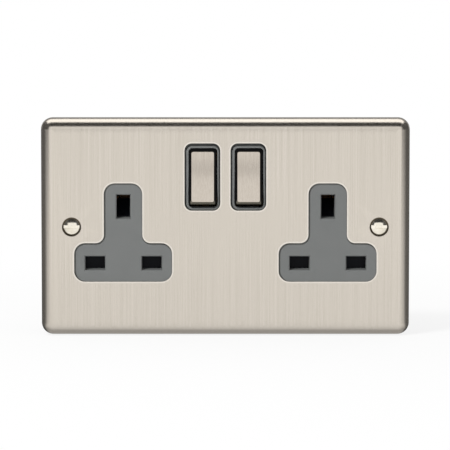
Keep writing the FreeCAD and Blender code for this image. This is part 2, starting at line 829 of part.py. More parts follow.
def make_pin_clip(name, x):
    clip = start_part(name, x, 0, pin_height)
    half = d.clip_width / 2
    pad(clip, "side", -half, half, clip_profile(d.pin_clip_front, pin_web))


def make_earth_clip(name, x):
    clip = start_part(name, x, 0, d.earth_height)
    half = d.earth_clip_height / 2
    loop = [(off, along) for along, off in clip_profile(d.earth_clip_front, earth_web)]
    pad(clip, "top", -half, half, loop[::-1])


def make_live_link(name, live_x, switch_x, column_x):
    # From the live clip up and across to the cradle of the contact arm.
    link = start_part(name)
    half = d.strip_width / 2
    inward = 1 if switch_x.value > live_x.value else -1
    top = d.link_height + half
    low = d.link_height - half
    clip_top = pin_height + d.clip_shoulder
    clip_low = pin_height - d.clip_shoulder
    base_half = d.arm_width / 2 + d.ear_gap + d.strip_gauge
    near, far = column_x + inward * half, column_x - inward * half
    foot_far = live_x - inward * d.clip_width / 2
    corners = [
        (foot_far, clip_low),
        (near, clip_low),
        (near, low),
        (switch_x + inward * base_half, low),
        (switch_x + inward * base_half, d.rocker_height + d.ear_half_height),
        (switch_x - inward * base_half, d.rocker_height + d.ear_half_height),
        (switch_x - inward * base_half, top),
        (far, top),
        (far, clip_top),
        (foot_far, clip_top),
    ]
    if abs(foot_far.value - far.value) < 1e-6:
        corners = corners[:-2]
    loop = corners if inward > 0 else corners[::-1]
    pad(link, "front", pin_strip, pin_strip + d.strip_gauge, loop)
    ear_front = arm_y - d.ear_half_height
    ears = []
    for side in (-1, 1):
        near_face = d.arm_width / 2 + d.ear_gap
        middle = switch_x + side * (near_face + d.strip_gauge / 2)
        ears.append(rect(middle, d.rocker_height, d.strip_gauge, 2 * d.ear_half_height))
    pad(link, "front", ear_front, pin_strip, *ears)
    # the notches that the lugs of the arm rock in, open to the front
    lug_corner = math.hypot(d.arm_gauge.value / 2, d.arm_lug_half_height.value)
    lug_lean = math.atan2(d.arm_lug_half_height.value, d.arm_gauge.value / 2) - arm_turn
    seat = arm_y + lug_corner * math.cos(lug_lean) + d.lug_gap
    notch_half = d.arm_lug_half_height + 2 * d.lug_gap
    low_z, high_z = d.rocker_height - notch_half, d.rocker_height + notch_half
    notches = span(switch_x - base_half, switch_x + base_half, low_z, high_z)
    pocket(link, "front", ear_front, seat, notches)


def make_live_bar():
    bar = start_part("live_bar")
    half = d.strip_width / 2
    contact_z = d.rocker_height + d.contact_offset
    head = rocker_x + half
    tab = terminal_places["live_terminal"]
    turn_z = d.tray_top + d.live_run_rise
    corners = [
        (-half, turn_z),
        (tab - half, turn_z),
        (tab - half, d.terminal_top),
        (tab + half, d.terminal_top),
        (tab + half, turn_z + d.live_run_width),
        (half, turn_z + d.live_run_width),
        (half, contact_z - half),
        (head, contact_z - half),
        (head, contact_z + half),
        (-head, contact_z + half),
        (-head, contact_z - half),
        (-half, contact_z - half),
    ]
    pad(bar, "front", live_bar_front, live_bar_front + d.strip_gauge, corners)
    tips = [rect(side * rocker_x, contact_z, 2 * d.contact_half, 2 * d.contact_half) for side in (-1, 1)]
    pad(bar, "front", fixed_contact_face, live_bar_front, *tips)


def make_neutral_bar():
    bar = start_part("neutral_bar")
    left, right = neutral_places
    half = d.clip_width / 2
    tab = terminal_places["neutral_terminal"]
    half_tab = d.strip_width / 2
    low = d.neutral_run_height - d.neutral_run_width / 2
    high = d.neutral_run_height + d.neutral_run_width / 2
    clip_top = pin_height + d.clip_shoulder
    corners = [
        (left - half, low),
        (tab - half_tab, low),
        (tab - half_tab, d.terminal_top),
        (tab + half_tab, d.terminal_top),
        (tab + half_tab, low),
        (right + half, low),
        (right + half, clip_top),
        (right - half, clip_top),
        (right - half, high),
        (left + half, high),
        (left + half, clip_top),
        (left - half, clip_top),
    ]
    pad(bar, "front", pin_strip, pin_strip + d.strip_gauge, corners)


def make_earth_bar():
    bar = start_part("earth_bar")
    left, right = earth_places
    half_end = d.clip_shoulder
    half = d.strip_width / 2
    high = d.earth_height + half
    low = d.earth_height - half
    half_foot = d.earth_foot_half_width
    foot = clamp_height - half_foot
    legs = [terminal_places["earth_terminal_left"], terminal_places["earth_terminal_right"]]
    corners = [(left - half_end, low)]
    for leg in legs:
        corners += [(leg - half_foot, low), (leg - half_foot, foot), (leg + half_foot, foot), (leg + half_foot, low)]
    corners += [(right + half_end, low), (right + half_end, high), (left - half_end, high)]
    pad(bar, "front", earth_strip, earth_strip + d.strip_gauge, corners)
    fork = d.clamp_screw_radius + d.clamp_gap
    slots = [span(leg - fork, leg + fork, foot, clamp_height + fork) for leg in legs]
    pocket(bar, "front", earth_strip, earth_strip + d.strip_gauge, *slots)


def make_earth_strap():
    strap = start_part("plate_earth_strap", strap_x)
    top = strap_height()
    thick = d.strap_gauge
    corners = [
        (plate_back, top - d.strap_foot),
        (plate_back + thick, top - d.strap_foot),
        (plate_back + thick, top - thick),
        (earth_strip, top - thick),
        (earth_strip, top),
        (plate_back, top),
    ]
    pad(strap, "side", -d.strap_width / 2, d.strap_width / 2, corners)


def make_terminal(name, x):
    terminal = start_part(name, x)
    block = rect(as_size(0), clamp_height, d.terminal_width, d.terminal_height)
    pad(terminal, "front", d.terminal_front, earth_strip, block)
    mouth_top = terminal_bottom + d.wire_hole_depth
    pocket(terminal, "top", terminal_bottom, mouth_top, circle(0, d.wire_hole_setback, d.wire_hole_radius))
    thread = circle(0, clamp_height, d.clamp_screw_radius + d.clamp_gap)
    pocket(terminal, "front", d.wire_hole_setback, earth_strip, thread)


def make_terminal_screws():
    screws = start_part("terminal_screws")
    tip = d.wire_hole_setback + d.wire_hole_radius + d.slot_gap
    end = earth_strip + d.strip_gauge + d.clamp_screw_proud
    shanks = [circle(x, clamp_height, d.clamp_screw_radius - d.clamp_gap) for x in terminal_places.values()]
    pad(screws, "front", tip, end, *shanks)


def make_corner_screws():
    screws = start_part("assembly_screws")
    tip = plate_back + d.corner_tip_gap
    seat = d.housing_back - d.corner_head_height - d.corner_head_depth
    end = seat + d.corner_head_height
    pad(screws, "front", tip, seat, *[circle(x, z, d.corner_screw_radius) for x, z in corner_places])
    pad(screws, "front", seat, end, *[circle(x, z, d.corner_head_radius) for x, z in corner_places])


def make_fixing_screw(name, x):
    screw = start_part(name, x)
    edge = plate_face + (d.sink_radius - d.screw_head_radius) - d.seat_gap
    neck = edge + d.screw_head_radius - d.screw_neck_radius
    thread_start = plate_face + (d.sink_radius - d.fixing_hole_radius) + d.sheet_gauge + d.screw_neck_past
    crown = edge - d.screw_head_dome
    tip = edge + d.screw_length
    profile = [
        (crown, 0),
        (tip, 0),
        (tip, d.screw_radius),
        (thread_start, d.screw_radius),
        (thread_start, d.screw_neck_radius),
        (neck, d.screw_neck_radius),
        (edge, d.screw_head_radius),
        (crown, d.screw_crown_radius),
    ]
    turned(screw, "Revolution", 0, profile)
    length = 2 * (d.screw_head_radius + d.cut_past)
    bottom = crown + d.screw_slot_depth
    pocket(screw, "front", crown, bottom, rect(as_size(0), as_size(0), length, d.screw_slot_width))


def make_rear_housing():
    housing = start_part("rear_housing")

    def outline(inset):
        return waisted_outline(
            housing_half - inset,
            housing_waist - inset,
            d.housing_waist_half_height + inset,
            d.body_top - inset,
            d.body_bottom + inset,
            d.body_corner - inset,
        )

    pad(housing, "front", moulding_back, d.housing_back, outline(0))
    dress(housing, "Chamfer", "Size", d.housing_bevel, level_edges(d.housing_back))
    pocket(housing, "front", moulding_back, housing_floor, outline(d.housing_wall))
    pillars = [rect(x, z, 2 * d.pillar_half, 2 * d.pillar_half) for x, z in corner_places]
    pad(housing, "front", moulding_back, housing_floor, *pillars)
    # stepped corners, which the heads of the screws sit in
    screw_seat = d.housing_back - d.corner_head_height - d.corner_head_depth
    near_x = corner_screw_x - d.pillar_half
    upper_low = d.corner_screw_top - d.pillar_half
    lower_high = d.corner_screw_bottom + d.pillar_half
    wall = d.housing_wall
    wall_x = housing_half - wall / 2
    upper = span(near_x - wall, wall_x, upper_low - wall, d.body_top - wall / 2)
    lower = span(near_x - wall, wall_x, d.body_bottom + wall / 2, lower_high + wall)
    pad(housing, "front", screw_seat - wall, housing_floor, upper, lower, mirrored(upper), mirrored(lower))
    far_x = housing_half + d.cut_past
    upper = span(near_x, far_x, upper_low, d.body_top + d.cut_past)
    lower = span(near_x, far_x, d.body_bottom - d.cut_past, lower_high)
    pocket(housing, "front", screw_seat, d.housing_back, upper, lower, mirrored(upper), mirrored(lower))
    hole = d.corner_screw_radius + d.corner_hole_gap
    pocket(housing, "front", moulding_back, screw_seat, *[circle(x, z, hole) for x, z in corner_places])

    # pedestals under the conductors
    half = d.pedestal_half
    link_back = pin_strip + d.strip_gauge
    low = [rect(x, pin_height, 2 * half, 2 * half) for x in live_places + neutral_places]
    low += [rect(side * rocker_x, d.rocker_height - half, 2 * half, 2 * half) for side in (-1, 1)]
    pad(housing, "front", link_back, housing_floor, *low)
    contact_z = d.rocker_height + d.contact_offset
    tall = span(-d.strip_width / 2, d.strip_width / 2, contact_z - half, contact_z + half)
    pad(housing, "front", live_bar_front + d.strip_gauge, housing_floor, tall)
    shallow = [rect(x, d.earth_height, 2 * half, 2 * half) for x in earth_places]
    pad(housing, "front", earth_strip + d.strip_gauge, housing_floor, *shallow)

    # tray of open bays for the terminals
    floor_z = d.body_bottom + d.housing_wall
    tray = span(-d.tray_half_width, d.tray_half_width, floor_z - d.cut_past, d.tray_top)
    pad(housing, "front", d.tray_front, housing_floor + d.cut_past, tray)
    bay_half = d.terminal_width / 2 + d.bay_gap
    bays = [
        span(x - bay_half, x + bay_half, d.body_bottom - d.cut_past, d.terminal_top + d.bay_gap)
        for x in terminal_places.values()
    ]
    pocket(housing, "front", d.terminal_front, d.housing_back, *bays)
    half_slot = d.strip_width / 2 + d.slot_gap
    slot_top = d.tray_top + d.cut_past
    neutral = terminal_places["neutral_terminal"]
    live = terminal_places["live_terminal"]
    strip_front = {neutral: pin_strip, live: live_bar_front}
    for x, front in strip_front.items():
        loop = span(x - half_slot, x + half_slot, d.terminal_top, slot_top)
        pocket(housing, "front", front - d.slot_gap, front + d.strip_gauge + d.slot_gap, loop)
    half_leg = d.earth_foot_half_width + d.slot_gap
    legs = [
        span(terminal_places[name] - half_leg, terminal_places[name] + half_leg, d.terminal_top, slot_top)
        for name in ("earth_terminal_left", "earth_terminal_right")
    ]
    pocket(housing, "front", earth_strip - d.slot_gap, housing_floor, *legs)


make_front_plate()
make_plate_bushes()
make_front_moulding()
make_rear_housing()
for side_name, place in (("left", -rocker_x), ("right", rocker_x)):
    make_rocker(f"rocker_{side_name}", place)
    make_rocker_cap(f"rocker_cap_{side_name}", place)
    make_plunger(f"rocker_plunger_{side_name}", place)
    coil(
        f"rocker_spring_{side_name}",
        d.rocker_spring_radius,
        d.rocker_spring_wire,
        d.rocker_spring_turns,
        d.plunger_back - d.post_floor - d.spring_play,
        in_rocker(place, d.post_floor),
    )
    make_switch_arm(f"switch_arm_{side_name}", place)
for number, side_name in enumerate(("left", "right")):
    centre_x = earth_places[number]
    make_shutter(f"shutter_{side_name}", centre_x)
    coil(
        f"shutter_spring_{side_name}",
        d.shutter_spring_radius,
        d.shutter_spring_wire,
        d.shutter_spring_turns,
        d.shutter_window_top - d.post_top - d.spring_play,
        upright(centre_x, shutter_front + d.shutter_window_half_width, d.post_top),
    )
    make_pin_clip(f"live_clip_{side_name}", live_places[number])
    make_pin_clip(f"neutral_clip_{side_name}", neutral_places[number])
    make_earth_clip(f"earth_clip_{side_name}", centre_x)
    make_fixing_screw(f"fixing_screw_{side_name}", (-fixing_x, fixing_x)[number])
make_live_link("live_link_left", live_places[0], -rocker_x, live_places[0])
make_live_link("live_link_right", live_places[1], rocker_x, live_places[1] - d.clip_width)
make_live_bar()
make_neutral_bar()
make_earth_bar()
make_earth_strap()
for name, place in terminal_places.items():
    make_terminal(name, place)
make_terminal_screws()
make_corner_screws()
doc.recompute()

for item in doc.Objects:
    if "Invalid" in item.State or "Error" in item.State:
        raise RuntimeError(f"{item.Name} failed: {item.State}")
for cut in cuts:
    before = cut.BaseFeature.Shape.Volume
    if cut.Shape.Volume > before - 1e-6:
        raise RuntimeError(f"{cut.Name} removes nothing")
for part in parts:
    if part.Shape.isNull() or not part.Shape.isValid():
        raise RuntimeError(f"{part.Label} has no valid shape")

os.makedirs("parts", exist_ok=True)
for part in parts:
    part.Shape.exportStep(f"parts/{part.Label}.step")
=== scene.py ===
import math
import bmesh
import bpy
from mathutils import Matrix, Vector


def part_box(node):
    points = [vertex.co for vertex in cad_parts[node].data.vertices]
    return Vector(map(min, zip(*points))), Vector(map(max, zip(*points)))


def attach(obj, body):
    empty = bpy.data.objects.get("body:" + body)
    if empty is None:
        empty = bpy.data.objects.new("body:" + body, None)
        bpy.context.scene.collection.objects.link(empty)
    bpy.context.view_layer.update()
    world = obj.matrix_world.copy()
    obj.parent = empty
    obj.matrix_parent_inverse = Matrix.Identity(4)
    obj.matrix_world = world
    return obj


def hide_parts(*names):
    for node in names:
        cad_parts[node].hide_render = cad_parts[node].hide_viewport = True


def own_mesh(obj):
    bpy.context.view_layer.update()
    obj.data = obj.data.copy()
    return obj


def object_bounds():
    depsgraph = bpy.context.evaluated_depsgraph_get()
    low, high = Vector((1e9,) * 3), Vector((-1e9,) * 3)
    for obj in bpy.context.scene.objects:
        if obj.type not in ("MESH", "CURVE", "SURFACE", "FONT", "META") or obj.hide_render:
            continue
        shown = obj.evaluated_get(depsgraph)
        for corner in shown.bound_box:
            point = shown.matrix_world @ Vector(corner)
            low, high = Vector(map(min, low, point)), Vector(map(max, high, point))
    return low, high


# A twin switched wall socket. The plate faces -Y, +Z is up, and the wall is the plane y = 0.
# Shapes are worked out in millimetres and become metres when their mesh is finished.

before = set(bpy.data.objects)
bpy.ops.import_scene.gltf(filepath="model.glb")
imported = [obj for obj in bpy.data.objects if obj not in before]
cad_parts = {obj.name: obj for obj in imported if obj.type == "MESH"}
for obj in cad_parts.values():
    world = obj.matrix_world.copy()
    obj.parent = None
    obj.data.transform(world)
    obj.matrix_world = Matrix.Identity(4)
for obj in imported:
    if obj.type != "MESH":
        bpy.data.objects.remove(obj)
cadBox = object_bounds()
mm = 0.001


def boxMm(node):
    low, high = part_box(node)
    return low / mm, high / mm


def middleMm(node):
    low, high = boxMm(node)
    return (low + high) / 2


plateLow, plateHigh = boxMm("front_plate")
plateGauge = 1.0
plateFace = plateLow.y
plateBack = plateFace + plateGauge
tiny = 1e-6
levelReach = 0.02  # how near a corner lies to a level that it is on
# angles in degrees: edges sharper than the first are shaded sharp and get a rounding
sharpAngle = 35.0
ridgeAngle = 20.0  # for pieces that choose the rounding of each edge
flatAngle = 0.5  # faces that differ by less are one


# Shader helpers

class Wire:
    # A node's output that can stand in a sum
    def __init__(self, book, socket):
        self.book = book
        self.socket = socket

    def __add__(self, other):
        return self.book.maths("ADD", self, other)

    def __radd__(self, other):
        return self.book.maths("ADD", other, self)

    def __sub__(self, other):
        return self.book.maths("SUBTRACT", self, other)

    def __rsub__(self, other):
        return self.book.maths("SUBTRACT", other, self)

    def __mul__(self, other):
        return self.book.maths("MULTIPLY", self, other)

    def __rmul__(self, other):
        return self.book.maths("MULTIPLY", other, self)

    def __truediv__(self, other):
        return self.book.maths("DIVIDE", self, other)

    def __rtruediv__(self, other):
        return self.book.maths("DIVIDE", other, self)


class NodeBook:
    # Builds one node tree
    def __init__(self, tree):
        self.tree = tree
        tree.nodes.clear()

    def add(self, kind, settings=None, sockets=None, output=0):
        # output is the number or name of the output to go on from, or a list of names
        node = self.tree.nodes.new(kind)
        for name, value in (settings or {}).items():
            if name == "stops":
                self.setStops(node.color_ramp, value)
            else:
                setattr(node, name, value)
        for name, value in (sockets or {}).items():
            if isinstance(value, Wire):
                self.tree.links.new(value.socket, node.inputs[name])
            else:
                node.inputs[name].default_value = value
        if isinstance(output, list):
            return [Wire(self, node.outputs[name]) for name in output]
        return Wire(self, node.outputs[output]) if node.outputs else None

    def setStops(self, ramp, stops):
        # Grey stops: place and brightness
        while len(ramp.elements) < len(stops):
            ramp.elements.new(0.5)
        for element, (place, shade) in zip(ramp.elements, stops):
            element.position = place
            element.color = (shade, shade, shade, 1)

    def objectPlace(self):
        return self.add("ShaderNodeTexCoord", None, None, "Object")

    def noise(self, scale, detail, roughness):
        # scale is in waves per millimetre, one number for each axis or one for all
        size = tuple(value / mm for value in (scale if isinstance(scale, tuple) else (scale,) * 3))
        place = self.add("ShaderNodeMapping", None, {"Vector": self.objectPlace(), "Scale": size})
        sockets = {"Vector": place, "Scale": 1.0, "Detail": detail, "Roughness": roughness}
        return self.add("ShaderNodeTexNoise", None, sockets)

    def ramp(self, value, stops):
        return self.add("ShaderNodeValToRGB", {"stops": stops}, {"Fac": value})

    def blend(self, factor, first, second):
        # The Mix node's colours are its inputs 6 and 7 and its output 2
        return self.add("ShaderNodeMix", {"data_type": "RGBA"}, {0: factor, 6: first, 7: second}, 2)

    def maths(self, operation, first, second=0.0):
        return self.add("ShaderNodeMath", {"operation": operation}, {0: first, 1: second})

    def smoothStep(self, value, start, end, least=0.0):
        # From the least at the start to 1 at the end, in millimetres; the start may be the greater one
        low, high = min(start, end) * mm, max(start, end) * mm
        first, last = (least, 1.0) if start < end else (1.0, least)
        sockets = {"Value": value, "From Min": low, "From Max": high, "To Min": first, "To Max": last}
        return self.add("ShaderNodeMapRange", {"interpolation_type": "SMOOTHSTEP"}, sockets)

    def attribute(self, name):
        return self.add("ShaderNodeAttribute", {"attribute_name": name}, None, "Fac")

    def bump(self, height, look):
        sockets = {"Height": height, "Strength": look["bump"], "Distance": look["depth"] * mm}
        return self.add("ShaderNodeBump", None, sockets)

    def glow(self, strength):
        return self.add("ShaderNodeEmission", None, {"Color": (1, 1, 1, 1), "Strength": strength})


def linear(red, green, blue):
    # From the 0 to 255 values of a picture to scene colour
    def one(value):
        value /= 255
        return value / 12.92 if value <= 0.04045 else ((value + 0.055) / 1.055) ** 2.4
    return (one(red), one(green), one(blue), 1)


def newMaterial(name):
    material = bpy.data.materials.new(name)
    material.use_nodes = True
    return material, NodeBook(material.node_tree)


def closeMaterial(book, sockets):
    surface = book.add("ShaderNodeBsdfPrincipled", None, sockets)
    book.add("ShaderNodeOutputMaterial", None, {"Surface": surface})


# Finishes: each pattern has its waves per millimetre, detail and roughness; colours are as in a picture

brushing = {
    # waves across the plate, through it and along the grain
    "fine": ((2.6, 2.6, 0.012), 2.0, 0.7),
    "hair": ((8.0, 8.0, 0.06), 3.0, 0.65),
    "slow": ((0.07, 0.07, 0.008), 1.0, 0.5),
    "fineShare": 0.58, "hairShare": 0.34, "slowShare": 0.08,
    "contrast": [(0.32, 0.0), (0.68, 1.0)], "sunkRoughness": 0.2,
}
moulded = {"grain": (5.5, 3.0, 0.6), "cloud": (0.12, 2.0, 0.5)}
# the waves of the drawing lines are each metal's own
tarnish = {"cloud": (0.35, 4.0, 0.6), "contrast": [(0.35, 0.0), (0.75, 1.0)], "lines": (3.0, 0.6)}


def brushedSteel(name, look):
    # Upright grain over faint slow changes of tone, a painted highlight at cut edges, painted shade and more
    # roughness where it is sunk
    material, book = newMaterial(name)
    fine, hair, slow = [book.noise(*brushing[name]) for name in ("fine", "hair", "slow")]
    tone = fine * brushing["fineShare"] + hair * brushing["hairShare"] + slow * brushing["slowShare"]
    colour = book.blend(book.ramp(tone, brushing["contrast"]), look["dark"], look["light"])
    # painted highlight: a lighter colour along the cut edges
    worn = book.blend(book.attribute("worn"), colour, look["worn"])
    # painted shade: a darker colour in the countersinks
    sunk = book.attribute("sunk")
    roughness = look["roughness"] + (hair - 0.5) * look["spread"]
    closeMaterial(book, {
        "Base Color": book.blend(sunk, worn, look["sunk"]),
        "Metallic": 1.0,
        "Roughness": roughness + sunk * brushing["sunkRoughness"],
        "Normal": book.bump(fine * 0.5 + hair * 0.5, look),
    })
    return material


def chinMask(book, look):
    # Painted light on the rounded end of a rocker below its cap, lightest next to the cap and fading
    # downwards
    across, up = book.add("ShaderNodeSeparateXYZ", None, {0: book.objectPlace()}, ["X", "Z"])
    fromMiddle = book.maths("ABSOLUTE", across - look["chinSit"] * mm) - look["chinPitch"] * mm
    aside = book.maths("ABSOLUTE", fromMiddle)
    bounds = [(up, look["chinRise"]), (up, look["chinFall"]), (aside, look["chinSide"])]
    rise, fall, side = [book.smoothStep(value, *limits) for value, limits in bounds]
    return rise * fall * side


def mouldedPlastic(name, look):
    # Fine spark-eroded texture with a little unevenness of tone
    material, book = newMaterial(name)
    grain = book.noise(*moulded["grain"])
    cloud = book.noise(*moulded["cloud"])
    colour = book.blend(grain * 0.5 + cloud * 0.5, look["dark"], look["light"])
    # painted light: a lighter grey band on the rocker's lower end
    if "chinLight" in look:
        colour = book.blend(chinMask(book, look), colour, look["chinLight"])
    closeMaterial(book, {
        "Base Color": colour,
        "Roughness": look["roughness"] + (grain - 0.5) * look["spread"],
        "Specular IOR Level": look["gloss"],
        "Normal": book.bump(grain, look),
    })
    return material


def rolledMetal(name, look):
    # Strip and bar metal: faint drawing lines, cloudy tarnish
    material, book = newMaterial(name)
    lines = book.noise(look["lines"], *tarnish["lines"])
    cloud = book.noise(*tarnish["cloud"])
    closeMaterial(book, {
        "Base Color": book.blend(book.ramp(cloud, tarnish["contrast"]), look["light"], look["dark"]),
        "Metallic": 1.0,
        "Roughness": look["roughness"] + (cloud - 0.5) * look["spread"],
        "Normal": book.bump(lines, look),
    })
    return material


finishes = {
    "plate": brushedSteel("brushedPlate", {
        "dark": linear(208, 200, 188), "light": linear(222, 214, 203),
        "worn": linear(238, 232, 222), "sunk": linear(96, 88, 76),
        "roughness": 0.24, "spread": 0.1, "bump": 0.24, "depth": 0.008,
    }),
    "cap": brushedSteel("brushedCap", {
        "dark": linear(200, 190, 178), "light": linear(214, 205, 193),
        "worn": linear(232, 224, 212), "sunk": linear(110, 102, 90),
        "roughness": 0.15, "spread": 0.05, "bump": 0.1, "depth": 0.004,
    }),
    "insert": mouldedPlastic("greyInsert", {
        "dark": linear(109, 111, 110), "light": linear(120, 122, 121), "gloss": 0.45,
        "roughness": 0.5, "spread": 0.12, "bump": 0.25, "depth": 0.01,
    }),
    "housing": mouldedPlastic("greyHousing", {
        "dark": linear(98, 99, 101), "light": linear(116, 117, 119), "gloss": 0.5,
        "roughness": 0.55, "spread": 0.15, "bump": 0.4, "depth": 0.02,
    }),
    "rocker": mouldedPlastic("blackRocker", {
        "dark": linear(7, 7, 7), "light": linear(14, 14, 14), "gloss": 0.07,
        "roughness": 0.36, "spread": 0.1, "bump": 0.2, "depth": 0.006,
        # painted light on the lower end: heights over which it comes and goes, distance from the rocker's
        # middle
        "chinLight": linear(108, 104, 93), "chinRise": (8.5, 9.95), "chinFall": (10.6, 10.15),
        "chinSit": 0.13, "chinPitch": 9.0, "chinSide": (4.95, 4.55),
    }),
    "shutter": mouldedPlastic("blueBlackShutter", {
        "dark": linear(6, 7, 11), "light": linear(14, 16, 23), "gloss": 0.1,
        "roughness": 0.4, "spread": 0.1, "bump": 0.2, "depth": 0.006,
    }),
    "nickel": rolledMetal("warmNickel", {
        "dark": linear(234, 226, 208), "light": linear(252, 246, 234), "lines": 1.5,
        "roughness": 0.16, "spread": 0.08, "bump": 0.1, "depth": 0.005,
    }),
    "zinc": rolledMetal("brightZinc", {
        "dark": linear(158, 160, 162), "light": linear(196, 198, 200), "lines": 2.5,
        "roughness": 0.28, "spread": 0.12, "bump": 0.15, "depth": 0.008,
    }),
    "brassBlock": rolledMetal("brassBlock", {
        "dark": linear(176, 142, 82), "light": linear(214, 182, 116), "lines": (0.3, 6.0, 6.0),
        "roughness": 0.3, "spread": 0.12, "bump": 0.2, "depth": 0.01,
    }),
    # brass's own colour, darkened as painted shade for where the bars and straps sit inside the housing
    "shadedBrassStrip": rolledMetal("shadedBrassStrip", {
        "dark": linear(104, 82, 48), "light": linear(142, 116, 74), "lines": (0.25, 5.0, 5.0),
        "roughness": 0.26, "spread": 0.12, "bump": 0.2, "depth": 0.008,
    }),
    # bronze's own colour, darkened further as painted shade for where the arms and clips sit inside the
    # socket
    "shadedBronze": rolledMetal("shadedClipBronze", {
        "dark": linear(84, 62, 44), "light": linear(118, 90, 64), "lines": (5.0, 0.25, 5.0),
        "roughness": 0.38, "spread": 0.12, "bump": 0.2, "depth": 0.008,
    }),
    "spring": rolledMetal("springSteel", {
        "dark": linear(120, 120, 122), "light": linear(160, 160, 162), "lines": 3.0,
        "roughness": 0.32, "spread": 0.1, "bump": 0.1, "depth": 0.005,
    }),
}
print("finishes made:", len(finishes))


# Outlines are lists of corners (across, up, radius), anticlockwise from the front

def roundedLoop(corners, steps=8):
    points = []
    for index, (across, up, radius) in enumerate(corners):
        here = Vector((across, up))
        if radius <= tiny:
            points += [here] * (steps + 1)
            continue
        before = (Vector(corners[index - 1][:2]) - here).normalized()
        after = (Vector(corners[(index + 1) % len(corners)][:2]) - here).normalized()
        half = before.angle(after) / 2
        centre = here + (before + after).normalized() * radius / math.sin(half)
        first = here + before * radius / math.tan(half) - centre
        last = here + after * radius / math.tan(half) - centre
        sweep = math.atan2(first.cross(last), first.dot(last))
        for step in range(steps + 1):
            points.append(centre + Matrix.Rotation(sweep * step / steps, 2) @ first)
    return points


def boxCorners(centre, middle, halfWidth, halfHeight, radius):
    low, high = middle - halfHeight, middle + halfHeight
    return [
        (centre - halfWidth, low, radius), (centre + halfWidth, low, radius),
        (centre + halfWidth, high, radius), (centre - halfWidth, high, radius),
    ]


def roundLoop(centre, middle, radius, steps=48):
    turns = [2 * math.pi * step / steps for step in range(steps)]
    return [Vector((centre + radius * math.cos(turn), middle + radius * math.sin(turn))) for turn in turns]


# Mesh helpers

def newObject(name, data):
    thing = bpy.data.objects.new(name, data)
    bpy.context.scene.collection.objects.link(thing)
    return thing


def addRing(bm, loop, depth):
    # One vertex for each point; points that fall together share one
    ring = []
    for point in loop:
        if ring and (ring[-1].co - Vector((point.x, depth, point.y))).length < tiny:
            ring.append(ring[-1])
        else:
            ring.append(bm.verts.new((point.x, depth, point.y)))
    if (ring[0].co - ring[-1].co).length < tiny and ring[0] is not ring[-1]:
        spare = ring[-1]
        ring = [ring[0] if vertex is spare else vertex for vertex in ring]
        bm.verts.remove(spare)
    return ring


def bridge(bm, first, second):
    count = len(first)
    for index in range(count):
        following = (index + 1) % count
        around = [first[index], first[following], second[following], second[index]]
        corners = [vertex for place, vertex in enumerate(around) if vertex is not around[place - 1]]
        if len(corners) > 2:
            bm.faces.new(corners)


def bridgeAll(bm, rings):
    for first, second in zip(rings, rings[1:]):
        bridge(bm, first, second)


def fillBetween(bm, rings):
    edges = {}  # a dictionary, because it keeps its order from run to run
    for ring in rings:
        for vertex, other in zip(ring, ring[-1:] + ring[:-1]):
            if vertex is not other:
                edges[bm.edges.get((vertex, other)) or bm.edges.new((vertex, other))] = None
    bmesh.ops.triangle_fill(bm, use_beauty=True, use_dissolve=False, edges=list(edges))


def meshObject(bm, name, material, scale=mm):
    bmesh.ops.recalc_face_normals(bm, faces=bm.faces)
    limit = math.radians(sharpAngle)
    for edge in bm.edges:
        edge.smooth = len(edge.link_faces) == 2 and edge.calc_face_angle(math.pi) < limit
    for face in bm.faces:
        face.smooth = True
    bm.transform(Matrix.Scale(scale, 4))
    mesh = bpy.data.meshes.new(name)
    bm.to_mesh(mesh)
    bm.free()
    mesh.materials.append(material)
    return newObject(name, mesh)


def settled(piece):
    # The piece with its modifiers made part of its mesh
    graph = bpy.context.evaluated_depsgraph_get()
    mesh = bpy.data.meshes.new_from_object(piece.evaluated_get(graph))
    piece.modifiers.clear()
    piece.data = mesh
    return piece


def withFaces(piece, material, angle=sharpAngle):
    mesh = piece.data
    mesh.polygons.foreach_set("use_smooth", [True] * len(mesh.polygons))
    mesh.set_sharp_from_angle(angle=math.radians(angle))
    mesh.materials.clear()
    mesh.materials.append(material)
    return piece


def moved(piece, matrix):
    piece.data.transform(matrix)
    return piece


def addBevel(piece, width, segments=2, angle=sharpAngle):
    bevel = piece.modifiers.new("edges", "BEVEL")
    bevel.limit_method = "ANGLE"
    bevel.angle_limit = math.radians(angle)
    bevel.width = width * mm
    bevel.segments = segments
    bevel.harden_normals = True
    return bevel


def addWeighting(piece):
    weighting = piece.modifiers.new("normals", "WEIGHTED_NORMAL")
    weighting.keep_sharp = True


def turnedPiece(name, profile, material, steps=40):
    # A profile of (along Y, radius) turned about the Y axis and closed at both ends
    bm = bmesh.new()
    rings = [addRing(bm, roundLoop(0, 0, radius, steps), along) for along, radius in profile]
    bridgeAll(bm, rings)
    bm.faces.new(rings[0])
    bm.faces.new(rings[-1])
    return meshObject(bm, name, material)


def cutBy(piece, boxes):
    # Takes boxes (low corner, high corner) in millimetres out of a piece
    bm = bmesh.new()
    for low, high in boxes:
        low, high = Vector(low), Vector(high)
        spread = Matrix.Diagonal((*(high - low), 1))
        bmesh.ops.create_cube(bm, size=1, matrix=Matrix.Translation((low + high) / 2) @ spread)
    cutter = meshObject(bm, "cutter", piece.data.materials[0])
    cut = piece.modifiers.new("cut", "BOOLEAN")
    cut.operation = "DIFFERENCE"
    cut.solver = "EXACT"
    cut.use_self = True
    cut.object = cutter
    settled(piece)
    bpy.data.objects.remove(cutter)
    return piece


def joinedPiece(name, pieces, material):
    bm = bmesh.new()
    for piece in pieces:
        bm.from_mesh(piece.data)
        bpy.data.objects.remove(piece)
    mesh = bpy.data.meshes.new(name)
    bm.to_mesh(mesh)
    bm.free()
    mesh.materials.append(material)
    return newObject(name, mesh)


# Geometry node trees

